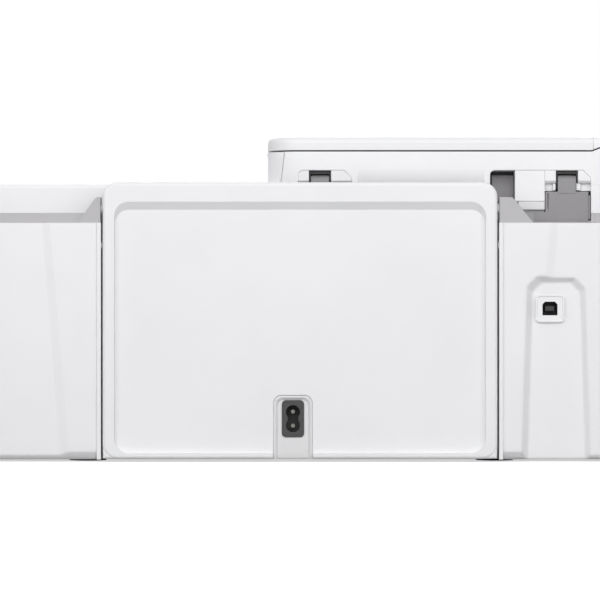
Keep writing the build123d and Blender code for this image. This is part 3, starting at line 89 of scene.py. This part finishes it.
def noise(tree, scale, detail=3.0, rough=0.55, stretch=None):
    """A noise in the object's own space. scale is in waves per metre."""
    place = tree.nodes.new("ShaderNodeTexCoord")
    vector = place.outputs["Object"]
    if stretch:
        mapping = tree.nodes.new("ShaderNodeMapping")
        mapping.inputs["Scale"].default_value = stretch
        tree.links.new(vector, mapping.inputs["Vector"])
        vector = mapping.outputs[0]
    texture = tree.nodes.new("ShaderNodeTexNoise")
    texture.inputs["Scale"].default_value = scale
    texture.inputs["Detail"].default_value = detail
    texture.inputs["Roughness"].default_value = rough
    tree.links.new(vector, texture.inputs["Vector"])
    return texture.outputs["Fac"]


def ramp(tree, fac, low, high, start=0.3, end=0.7):
    """Two colours mixed by a factor."""
    node = tree.nodes.new("ShaderNodeValToRGB")
    node.color_ramp.elements[0].position = start
    node.color_ramp.elements[1].position = end
    node.color_ramp.elements[0].color = (*low, 1)
    node.color_ramp.elements[1].color = (*high, 1)
    tree.links.new(fac, node.inputs[0])
    return node.outputs[0]


def spread(tree, fac, low, high):
    """A factor from 0.3 to 0.7 spread over a range of values."""
    node = tree.nodes.new("ShaderNodeMapRange")
    node.inputs["From Min"].default_value = 0.3
    node.inputs["From Max"].default_value = 0.7
    node.inputs["To Min"].default_value = low
    node.inputs["To Max"].default_value = high
    tree.links.new(fac, node.inputs["Value"])
    return node.outputs[0]


def tint(colour, factor):
    return tuple(min(1.0, c * factor) for c in colour)


def relief(tree, shader, height, strength, depth):
    """Lets a texture rise and fall by a depth, and returns the node that does it."""
    bump = tree.nodes.new("ShaderNodeBump")
    bump.inputs["Strength"].default_value = strength
    bump.inputs["Distance"].default_value = depth
    tree.links.new(height, bump.inputs["Height"])
    tree.links.new(bump.outputs[0], shader.inputs["Normal"])
    return bump


def plastic(
    name, colour, rough=0.45, grain=2600.0, depth=0.00002, edge=0.0004, blotch=0.02, coat=0.0, samples=4
):
    """Moulded plastic with a spark-eroded grain, slight clouding and softened edges."""
    material, tree, shader = new_material(name)
    cloud = ramp(tree, noise(tree, 14.0, 4.0), tint(colour, 1 - blotch), tint(colour, 1 + blotch))
    tree.links.new(cloud, shader.inputs["Base Color"])
    fine = noise(tree, grain, 2.0, 0.6)
    tree.links.new(spread(tree, fine, rough - 0.05, rough + 0.06), shader.inputs["Roughness"])
    shader.inputs["Coat Weight"].default_value = coat
    shader.inputs["Coat Roughness"].default_value = 0.08
    bump = relief(tree, shader, fine, 0.5, depth)
    if edge:
        bevel = tree.nodes.new("ShaderNodeBevel")
        bevel.samples = samples
        bevel.inputs["Radius"].default_value = edge
        tree.links.new(bevel.outputs[0], bump.inputs["Normal"])
    return material


def metal(name, colour, rough=0.3, stretch=(4.0, 60.0, 60.0)):
    """Drawn or rolled steel, with fine lines along it."""
    material, tree, shader = new_material(name)
    lines = noise(tree, 90.0, 5.0, 0.7, stretch)
    tree.links.new(ramp(tree, lines, tint(colour, 0.86), tint(colour, 1.1)), shader.inputs["Base Color"])
    tree.links.new(spread(tree, lines, rough - 0.08, rough + 0.12), shader.inputs["Roughness"])
    shader.inputs["Metallic"].default_value = 1.0
    relief(tree, shader, lines, 0.25, 0.00003)
    return material


def rubber(name, colour):
    """Matt rubber with a fine ground surface."""
    material, tree, shader = new_material(name)
    fine = noise(tree, 1800.0, 4.0, 0.7)
    tree.links.new(ramp(tree, fine, tint(colour, 0.7), tint(colour, 1.4)), shader.inputs["Base Color"])
    tree.links.new(spread(tree, fine, 0.72, 0.9), shader.inputs["Roughness"])
    relief(tree, shader, fine, 0.7, 0.00006)
    return material


def plate_glass(name):
    """Clear scanner glass, faintly green, with barely wavy polish."""
    material, tree, shader = new_material(name)
    wave = noise(tree, 6.0, 2.0)
    tree.links.new(ramp(tree, wave, (0.86, 0.93, 0.91), (0.92, 0.97, 0.96)), shader.inputs["Base Color"])
    tree.links.new(spread(tree, wave, 0.01, 0.03), shader.inputs["Roughness"])
    shader.inputs["Transmission Weight"].default_value = 1.0
    shader.inputs["IOR"].default_value = 1.5
    return material


def circuit_board(name):
    """Green solder resist with copper tracks just under it."""
    material, tree, shader = new_material(name)
    place = tree.nodes.new("ShaderNodeTexCoord")
    brick = tree.nodes.new("ShaderNodeTexBrick")
    brick.inputs["Scale"].default_value = 160.0
    brick.inputs["Mortar Size"].default_value = 0.05
    brick.inputs["Color1"].default_value = (0.012, 0.11, 0.045, 1)
    brick.inputs["Color2"].default_value = (0.015, 0.14, 0.055, 1)
    brick.inputs["Mortar"].default_value = (0.05, 0.26, 0.1, 1)
    tree.links.new(place.outputs["Object"], brick.inputs["Vector"])
    tree.links.new(brick.outputs["Color"], shader.inputs["Base Color"])
    shader.inputs["Roughness"].default_value = 0.35
    return material


def maths(tree, operation, first, second):
    """One step of arithmetic; each input is a socket or a number."""
    node = tree.nodes.new("ShaderNodeMath")
    node.operation = operation
    for socket, value in zip(node.inputs, (first, second)):
        if isinstance(value, float):
            socket.default_value = value
        else:
            tree.links.new(value, socket)
    return node.outputs[0]


def opening_mask(tree, middle, half, cut):
    """1 inside an upright opening whose upper corners are cut, otherwise 0."""
    place = tree.nodes.new("ShaderNodeTexCoord")
    parts = tree.nodes.new("ShaderNodeSeparateXYZ")
    tree.links.new(place.outputs["Object"], parts.inputs[0])
    across = maths(tree, "ABSOLUTE", maths(tree, "SUBTRACT", parts.outputs["X"], middle[0]), 0.0)
    up = maths(tree, "SUBTRACT", parts.outputs["Z"], middle[1])
    in_width = maths(tree, "LESS_THAN", across, half[0])
    in_height = maths(tree, "LESS_THAN", maths(tree, "ABSOLUTE", up, 0.0), half[1])
    in_corner = maths(tree, "LESS_THAN", maths(tree, "ADD", across, up), half[0] + half[1] - cut)
    return maths(tree, "MULTIPLY", maths(tree, "MULTIPLY", in_width, in_height), in_corner)


def socket_plastic(name, colour, dark, middle, half, cut):
    """Plastic of one colour that is dark inside a socket's opening."""
    material = plastic(name, colour)
    tree = material.node_tree
    shader = next(node for node in tree.nodes if node.type == "BSDF_PRINCIPLED")
    base = shader.inputs["Base Color"].links[0].from_socket
    mix = tree.nodes.new("ShaderNodeMix")
    mix.data_type = "RGBA"
    colours = {socket.name: socket for socket in mix.inputs if socket.type == "RGBA"}
    result = next(socket for socket in mix.outputs if socket.type == "RGBA")
    tree.links.new(opening_mask(tree, middle, half, cut), mix.inputs["Factor"])
    tree.links.new(base, colours["A"])
    colours["B"].default_value = (*dark, 1)
    tree.links.new(result, shader.inputs["Base Color"])
    return material


WHITE = (0.865, 0.865, 0.88)
white = plastic("case_white", WHITE)
case_shell = plastic("case_shell", WHITE, edge=0.0028, samples=8)
# A brighter copy of the case white for the lid, the ADF walls and covers: painted light for the stronger
# light on the top of the printer
lid_lit_white = plastic("lid_lit_white", (0.915, 0.915, 0.93))
# A darker copy of the case white: painted shade for the plate and rim sunk in the tray's notch round the
# power inlet
notch_shaded_white = plastic("notch_painted_shade_white", (0.77, 0.77, 0.78), 0.5)
# Mid grey for the frame, trays and guides; on the recessed belt under the lid its darkness is partly the
# plastic's own grey and partly painted shade
band = plastic("band_grey", (0.49, 0.48, 0.495), 0.5)
hinge_grey = plastic("hinge_grey", (0.29, 0.282, 0.291), 0.42)
liner_grey = plastic("liner_grey", (0.33, 0.32, 0.33), 0.5)
black = plastic("black_plastic", (0.018, 0.018, 0.019), 0.4)
inlet_black = plastic("inlet_plastic", (0.052, 0.051, 0.053), 0.45, edge=0.0003)
panel = plastic("panel_gloss", (0.012, 0.012, 0.014), 0.16, 900.0, 0.000004, coat=0.6)
display = plastic("display_window", (0.006, 0.007, 0.009), 0.06, 500.0, 0.000001, 0.0, 0.1, 1.0)
button_grey = plastic("button_grey", (0.22, 0.22, 0.225), 0.4)
inner_grey = plastic("inner_grey", (0.11, 0.11, 0.115), 0.55)
gear_white = plastic("gear_white", (0.68, 0.67, 0.62), 0.4, edge=0.0)
foam = plastic("pad_white", (0.86, 0.86, 0.85), 0.75, 700.0, 0.00008)
mark_white = plastic("mark_white", (0.62, 0.63, 0.65), 0.5, edge=0.0)
steel = metal("steel", (0.55, 0.55, 0.57))
pin_metal = metal("pin_metal", (0.22, 0.215, 0.2), 0.5, (60.0, 4.0, 60.0))
roller_rubber = rubber("rubber", (0.03, 0.03, 0.031))
usb_plastic = socket_plastic(
    "usb_socket", WHITE, (0.03, 0.029, 0.032), (USB_X, USB_Z), USB_HALF, USB_CORNER_CUT
)
board = circuit_board("board_green")
glass = plate_glass("scanner_glass")

NODE_MATERIALS = {
    case_shell: ["main_case"],
    white: ["rear_case", "input_tray", "adf_top_cover", "access_door"],
    lid_lit_white: ["lid_frame", "adf_body", "adf_roller_cover", "cable_cover"],
    usb_plastic: ["usb_socket"],
    band: [
        "mid_frame", "scanner_deck", "output_tray", "output_extension", "paper_guide_left",
        "paper_guide_right", "sheet_guide_front", "sheet_guide_rear",
    ],
    hinge_grey: ["left_hinge_leg", "right_hinge_leg"],
    black: [
        "hinge_yokes", "black_cartridge", "colour_cartridge", "carriage_motor", "feed_motor",
        "power_supply",
    ],
    inlet_black: ["power_inlet"],
    panel: ["control_panel"],
    display: ["display_window"],
    button_grey: [
        "power_button", "wireless_button", "menu_button", "cancel_button", "copy_black_button",
        "copy_colour_button",
    ],
    inner_grey: [
        "bottom_chassis", "scanner_tub", "paper_ramp", "feed_frame", "platen", "carriage", "scan_bar",
    ],
    foam: ["lid_pad"],
    glass: ["scanner_glass", "adf_glass"],
    steel: ["scan_rail", "carriage_rail", "case_screws"],
    pin_metal: ["inlet_pins"],
    roller_rubber: ["feet", "feed_roller", "exit_roller", "pick_roller", "adf_roller", "carriage_belt"],
    board: ["main_board"],
    gear_white: ["feed_idler_gear", "motor_pinion", "motor_pulley", "idler_pulley"],
}


def paint(obj, material):
    obj.data.materials.clear()
    obj.data.materials.append(material)


for material, names in NODE_MATERIALS.items():
    for name in names:
        paint(nodes[name], material)


# Geometry helpers

def new_object(name, bm, material):
    """Makes an object of a bmesh, with flat faces."""
    mesh = bpy.data.meshes.new(name)
    bm.to_mesh(mesh)
    bm.free()
    obj = bpy.data.objects.new(name, mesh)
    bpy.context.scene.collection.objects.link(obj)
    obj.data.materials.append(material)
    return obj


def add_mesh(name, bm, material, body):
    """Makes an object of a bmesh and lets it ride on a body."""
    obj = new_object(name, bm, material)
    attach(obj, body)


def add_plate(name, low, high, material, body, slot, bevel):
    """A plate between two corners, with its edges rounded."""
    bm = bmesh.new()
    middle = (Vector(low) + Vector(high)) / 2
    size = Vector(high) - Vector(low)
    place = Matrix.Translation(middle) @ Matrix.Diagonal((*size, 1))
    bmesh.ops.create_cube(bm, size=1.0, matrix=place)
    bmesh.ops.bevel(bm, geom=bm.edges[:], offset=bevel, segments=2, affect="EDGES")
    add_mesh(name, bm, material, body)


def join_rows(bm, rows):
    """Closes each row of points on itself and joins it to the next with faces."""
    for row, after in zip(rows, rows[1:]):
        for i in range(len(row)):
            j = (i + 1) % len(row)
            bm.faces.new((row[i], row[j], after[j], after[i]))


def slope_frame():
    """The frame of the sloping front: x across, y up the slope, z off it."""
    up = (SLOPE_TOP - SLOPE_BOTTOM).normalized()
    across = Vector((1, 0, 0))
    off = across.cross(up)
    matrix = Matrix((across, up, off)).transposed().to_4x4()
    matrix.translation = (SLOPE_TOP + SLOPE_BOTTOM) / 2
    return matrix


def ring_strip(bm, centre, inner, outer, start, end, steps=28):
    """A flat arc between two radii, from one angle to another, in degrees."""
    pairs = []
    for step in range(steps + 1):
        angle = math.radians(start + (end - start) * step / steps)
        way = Vector((math.cos(angle), math.sin(angle), 0))
        pairs.append((bm.verts.new(centre + way * inner), bm.verts.new(centre + way * outer)))
    for a, b in zip(pairs, pairs[1:]):
        bm.faces.new((a[0], a[1], b[1], b[0]))


def bar_strip(bm, start, end, width):
    """A flat bar from one point to another."""
    along = (end - start).normalized()
    side = Vector((-along.y, along.x, 0)) * width / 2
    bm.faces.new([bm.verts.new(p) for p in (start - side, end - side, end + side, start + side)])


def thicken(bm, height):
    faces = bmesh.ops.extrude_face_region(bm, geom=bm.faces[:])
    verts = [v for v in faces["geom"] if isinstance(v, bmesh.types.BMVert)]
    bmesh.ops.translate(bm, verts=verts, vec=(0, 0, height))
    bmesh.ops.recalc_face_normals(bm, faces=bm.faces[:])


# Symbols on the buttons, each a thin raised mark

MARK_HEIGHT = 0.00012
MARK_SINK = 0.00002
MARK_WIDTH = 0.0005
BUTTON_X = {
    "power_button": -0.128,
    "wireless_button": -0.1,
    "menu_button": -0.072,
    "cancel_button": 0.062,
    "copy_black_button": 0.09,
    "copy_colour_button": 0.118,
}


def power_mark(bm):
    """An open ring with a short bar through its gap."""
    inner = 0.0021
    ring_strip(bm, Vector((0, 0, 0)), inner, inner + MARK_WIDTH, 125, 415)
    bar_strip(bm, Vector((0, 0.0003, 0)), Vector((0, 0.0029, 0)), MARK_WIDTH)


def wireless_mark(bm):
    """Three arcs over a dot."""
    base = Vector((0, -0.0018, 0))
    for radius in (0.0014, 0.0026, 0.0038):
        ring_strip(bm, base, radius, radius + MARK_WIDTH, 45, 135, 14)
    ring_strip(bm, base, 0.00001, 0.0006, 0, 360, 16)


def menu_mark(bm):
    """Three level bars."""
    half_w = 0.0021
    pitch = 0.0015
    for height in (-pitch, 0, pitch):
        bar_strip(bm, Vector((-half_w, height, 0)), Vector((half_w, height, 0)), MARK_WIDTH)


def cancel_mark(bm):
    """Two crossed bars."""
    reach = 0.0018
    for side in (-1, 1):
        bar_strip(bm, Vector((-reach, -reach * side, 0)), Vector((reach, reach * side, 0)), MARK_WIDTH)


def sheet_mark(bm, offset):
    """The outline of a sheet of paper."""
    half_w = 0.0014
    half_h = 0.0019
    corners = [(-half_w, -half_h), (half_w, -half_h), (half_w, half_h), (-half_w, half_h)]
    for a, b in zip(corners, corners[1:] + corners[:1]):
        bar_strip(bm, offset + Vector((*a, 0)), offset + Vector((*b, 0)), MARK_WIDTH * 0.8)


def copy_mark(bm):
    """Two sheets, one over the other."""
    sheet_mark(bm, Vector((-0.0006, 0.0005, 0)))
    sheet_mark(bm, Vector((0.0008, -0.0006, MARK_HEIGHT)))


MARKS = {
    "power_button": power_mark,
    "wireless_button": wireless_mark,
    "menu_button": menu_mark,
    "cancel_button": cancel_mark,
    "copy_black_button": copy_mark,
    "copy_colour_button": copy_mark,
}


def button_marks():
    place = slope_frame()
    for button, draw in MARKS.items():
        bm = bmesh.new()
        draw(bm)
        thicken(bm, MARK_HEIGHT)
        offset = Matrix.Translation((BUTTON_X[button], 0, BUTTON_TOP - MARK_SINK))
        bm.transform(place @ offset)
        add_mesh(button + "_mark", bm, mark_white, button)


# Mouldings round the sockets and the tray's corners

def loop_points(half_w, low, high, top_r, foot_r, y, middle_x, steps=8):
    """A rounded upright outline across X and Z, with its own radius at the top and the foot."""
    corners = [
        (half_w - foot_r, low + foot_r, -90, foot_r),
        (half_w - top_r, high - top_r, 0, top_r),
        (-half_w + top_r, high - top_r, 90, top_r),
        (-half_w + foot_r, low + foot_r, 180, foot_r),
    ]
    points = []
    for x, z, start, radius in corners:
        for step in range(steps + 1):
            angle = math.radians(start + 90 * step / steps)
            across = middle_x + x + radius * math.cos(angle)
            points.append(Vector((across, y, z + radius * math.sin(angle))))
    return points


def looped_solid(name, loops, material, body):
    """A closed ring of faces between loops of points, the last one joined to the first."""
    bm = bmesh.new()
    rings = [[bm.verts.new(point) for point in loop] for loop in loops]
    join_rows(bm, [*rings, rings[0]])
    bmesh.ops.recalc_face_normals(bm, faces=bm.faces[:])
    add_mesh(name, bm, material, body)


def inlet_surround():
    """The rounded rim and sunken plate round the power inlet, which fill the tray's notch."""
    foot_z = 0.0022
    foot_r = 0.0003
    back_y = 0.1592
    plate_y = 0.1609
    # Half the width, the top, the top's radius and the depth, from the back round the rim
    section = [
        (0.01193, 0.04073, 0.0049, back_y),
        (0.01193, 0.04073, 0.0049, 0.1619),
        (0.0117, 0.0405, 0.0048, 0.1624),
        (0.0109, 0.0397, 0.0045, 0.1625),
        (0.0102, 0.0390, 0.0042, 0.1621),
        (0.0095, 0.0384, 0.0040, 0.1611),
        (0.0088, 0.0381, 0.0036, plate_y),
    ]
    half_w, half_h = INLET_HALF
    hole = (half_w, INLET_Z - half_h, INLET_Z + half_h, INLET_CORNER_R, INLET_CORNER_R)
    loops = [loop_points(w, foot_z, top, r, foot_r, y, INLET_X) for w, top, r, y in section]
    loops += [loop_points(*hole, plate_y, INLET_X), loop_points(*hole, back_y, INLET_X)]
    # The rim and plate take the darker white, painted shade for the notch they sit in
    looped_solid("inlet_surround", loops, notch_shaded_white, "case")


def usb_rim():
    """The raised rim of the data socket's plate."""
    back_y = 0.1585
    less_high = 0.0004
    straight = 0.0062
    # Half the width and the depth, from the outer foot over the rim to the inner foot
    section = [
        (0.0090, back_y), (0.0090, 0.1594), (0.0086, 0.1597), (0.0079, 0.1597), (0.0075, 0.1593),
        (0.0075, back_y),
    ]
    loops = []
    for half_w, y in section:
        half_h = half_w - less_high
        corner = half_w - straight
        loops.append(loop_points(half_w, USB_Z - half_h, USB_Z + half_h, corner, corner, y, USB_X))
    looped_solid("usb_rim", loops, white, "case")


def tray_corners():
    """Squares off the lower corners of the paper tray, which are rounded in the solid."""
    steps = 8
    centre_x = TRAY_HALF_W - TRAY_CORNER_R
    centre_z = TRAY_FOOT_Z + TRAY_CORNER_R
    arc = []
    for step in range(steps + 1):
        angle = math.radians(90 * step / steps)
        arc.append((centre_x + TRAY_CORNER_R * math.sin(angle), centre_z - TRAY_CORNER_R * math.cos(angle)))
    tip = (TRAY_HALF_W - 0.0002, TRAY_FOOT_Z + 0.0002)
    outline = [tip, *reversed(arc)]
    # The depth, and how far the outline is drawn in there to round the front edge
    section = [(TRAY_BACK_Y, 0.0), (0.1638, 0.0), (0.16495, 0.0005), (TRAY_FACE_Y, 0.0014)]
    for side, name in ((-1, "tray_corner_right"), (1, "tray_corner_left")):
        bm = bmesh.new()
        rows = []
        for y, inset in section:
            rows.append([bm.verts.new((side * (x - inset), y, z + inset)) for x, z in outline])
        join_rows(bm, rows)
        bm.faces.new(rows[0])
        bm.faces.new(rows[-1])
        bmesh.ops.recalc_face_normals(bm, faces=bm.faces[:])
        add_mesh(name, bm, white, "input_tray")


# Thin plates that close small gaps, and a black sheet of painted shadow in the lid's pocket, each with two
# of its corners, body, slot and edge

POCKET_LININGS = [
    # A black sheet of painted shadow at the back of the hinge pocket in the lid, where the pocket is only
    # in deep shade
    (
        "pocket_painted_shadow", (-0.1334, 0.1171, 0.1600), (-0.1180, 0.1173, 0.1792),
        black, "lid", "black_plastic", 0.00005,
    ),
    (
        "pocket_liner", (-0.1333, 0.1185, 0.1602), (-0.1196, 0.1199, 0.1770),
        liner_grey, "lid", "hinge_grey", 0.0003,
    ),
    (
        "hinge_skirt", (-0.1794, 0.13325, 0.1465), (-0.1436, 0.13345, 0.1485),
        hinge_grey, "case", "hinge_grey", 0.00005,
    ),
]
HINGE_TRIMS = [
    (
        "leg_trim", (-0.1801, 0.1305, 0.1492), (-0.1787, 0.1326, 0.1640),
        hinge_grey, "hinge_legs", "hinge_grey", 0.0002,
    ),
    # The belt's end, in the grey that partly carries painted shade
    (
        "band_end", (-0.18045, 0.1580, 0.14645), (-0.1782, 0.15845, 0.1525),
        band, "case", "band_grey", 0.0001,
    ),
    (
        "foot_end", (-0.1434, 0.1583, 0.14645), (-0.1360, 0.1588, 0.15235),
        hinge_grey, "case", "hinge_grey", 0.0001,
    ),
    (
        "foot_step", (-0.1517, 0.1285, 0.1534), (-0.1365, 0.1315, 0.1548),
        hinge_grey, "hinge_legs", "hinge_grey", 0.0002,
    ),
    (
        "ledge_left", (-0.1586, 0.1308, 0.1671), (-0.1569, 0.1312, 0.1715),
        lid_lit_white, "lid", "case_white", 0.0001,
    ),
    (
        "ledge_right", (-0.1741, 0.1308, 0.1671), (-0.1714, 0.1312, 0.1715),
        lid_lit_white, "lid", "case_white", 0.0001,
    ),
    (
        "cover_lap", (-0.18208, 0.1298, 0.1949), (-0.18192, 0.13385, 0.1990),
        white, "adf_top_cover", "case_white", 0.00002,
    ),
]

button_marks()
for plate in POCKET_LININGS + HINGE_TRIMS:
    add_plate(*plate)
tray_corners()
inlet_surround()
usb_rim()


# Floor, backdrop and light

FLOOR_HALF = 6.0
FLOOR_LIFT = 0.62
SKY_STRENGTH = 0.42
AIM = Vector((0, 0, 0.1))
# Name, place, width and height, and power in watts of each light
LIGHTS = [
    ("rear", (0.0, 3.2, 1.0), (3.0, 1.8), 9.0),
    ("near", (0.0, 1.2, 0.62), (2.4, 0.6), 10.5),
    ("top", (0.0, 0.2, 2.4), (2.5, 2.5), 4.0),
    ("front", (-0.6, -3.0, 1.4), (2.2, 1.6), 34.0),
]


def stage_material():
    """White to the camera, and mid grey for reflections and the light it throws back."""
    material = bpy.data.materials.new("stage_white")
    material.use_nodes = True
    tree = material.node_tree
    tree.nodes.clear()
    out = tree.nodes.new("ShaderNodeOutputMaterial")
    lit = tree.nodes.new("ShaderNodeBsdfDiffuse")
    lit.inputs["Color"].default_value = (0.9, 0.9, 0.9, 1)
    lift = tree.nodes.new("ShaderNodeEmission")
    lift.inputs["Color"].default_value = (1, 1, 1, 1)
    lift.inputs["Strength"].default_value = FLOOR_LIFT
    seen = tree.nodes.new("ShaderNodeAddShader")
    tree.links.new(lit.outputs[0], seen.inputs[0])
    tree.links.new(lift.outputs[0], seen.inputs[1])
    thrown = tree.nodes.new("ShaderNodeBsdfDiffuse")
    thrown.inputs["Color"].default_value = (0.5, 0.5, 0.5, 1)
    mix = tree.nodes.new("ShaderNodeMixShader")
    path = tree.nodes.new("ShaderNodeLightPath")
    tree.links.new(path.outputs["Is Camera Ray"], mix.inputs[0])
    tree.links.new(thrown.outputs[0], mix.inputs[1])
    tree.links.new(seen.outputs[0], mix.inputs[2])
    tree.links.new(mix.outputs[0], out.inputs[0])
    return material


def floor():
    bm = bmesh.new()
    bmesh.ops.create_grid(bm, x_segments=2, y_segments=2, size=FLOOR_HALF)
    new_object("floor", bm, stage_material())


def area_light(name, at, size, power):
    """A soft light turned towards the printer, which the camera doesn't see."""
    light = bpy.data.lights.new(name, "AREA")
    light.shape = "RECTANGLE"
    light.size = size[0]
    light.size_y = size[1]
    light.energy = power
    obj = bpy.data.objects.new(name, light)
    bpy.context.scene.collection.objects.link(obj)
    obj.location = at
    way = AIM - Vector(at)
    obj.rotation_euler = way.to_track_quat("-Z", "Y").to_euler()
    obj.visible_camera = False


def world():
    """Even light all round, and white where the camera, a reflection or glass sees past the floor."""
    sky = bpy.data.worlds.new("studio")
    bpy.context.scene.world = sky
    sky.use_nodes = True
    tree = sky.node_tree
    tree.nodes.clear()
    out = tree.nodes.new("ShaderNodeOutputWorld")
    mix = tree.nodes.new("ShaderNodeMixShader")
    path = tree.nodes.new("ShaderNodeLightPath")
    either = maths(tree, "MAXIMUM", path.outputs["Is Camera Ray"], path.outputs["Is Glossy Ray"])
    seen = maths(tree, "MAXIMUM", either, path.outputs["Is Transmission Ray"])
    tree.links.new(seen, mix.inputs[0])
    for socket, strength in ((mix.inputs[1], SKY_STRENGTH), (mix.inputs[2], 1.0)):
        background = tree.nodes.new("ShaderNodeBackground")
        background.inputs["Color"].default_value = (1, 1, 1, 1)
        background.inputs["Strength"].default_value = strength
        tree.links.new(background.outputs[0], socket)
    tree.links.new(mix.outputs[0], out.inputs[0])


def camera():
    data = bpy.data.cameras.new("camera")
    data.sensor_width = SENSOR_MM
    data.sensor_fit = "HORIZONTAL"
    data.lens = SENSOR_MM * CAMERA_DISTANCE / (FRAME_PX * METRES_PER_PX)
    data.clip_end = 50.0
    obj = bpy.data.objects.new("camera", data)
    bpy.context.scene.collection.objects.link(obj)
    obj.location = (0, TRAY_Y + CAMERA_DISTANCE, CAMERA_Z)
    obj.rotation_euler = (math.radians(90), 0, math.radians(180))
    bpy.context.scene.camera = obj


floor()
world()
for light in LIGHTS:
    area_light(*light)
camera()
bpy.context.scene.view_settings.view_transform = "Standard"
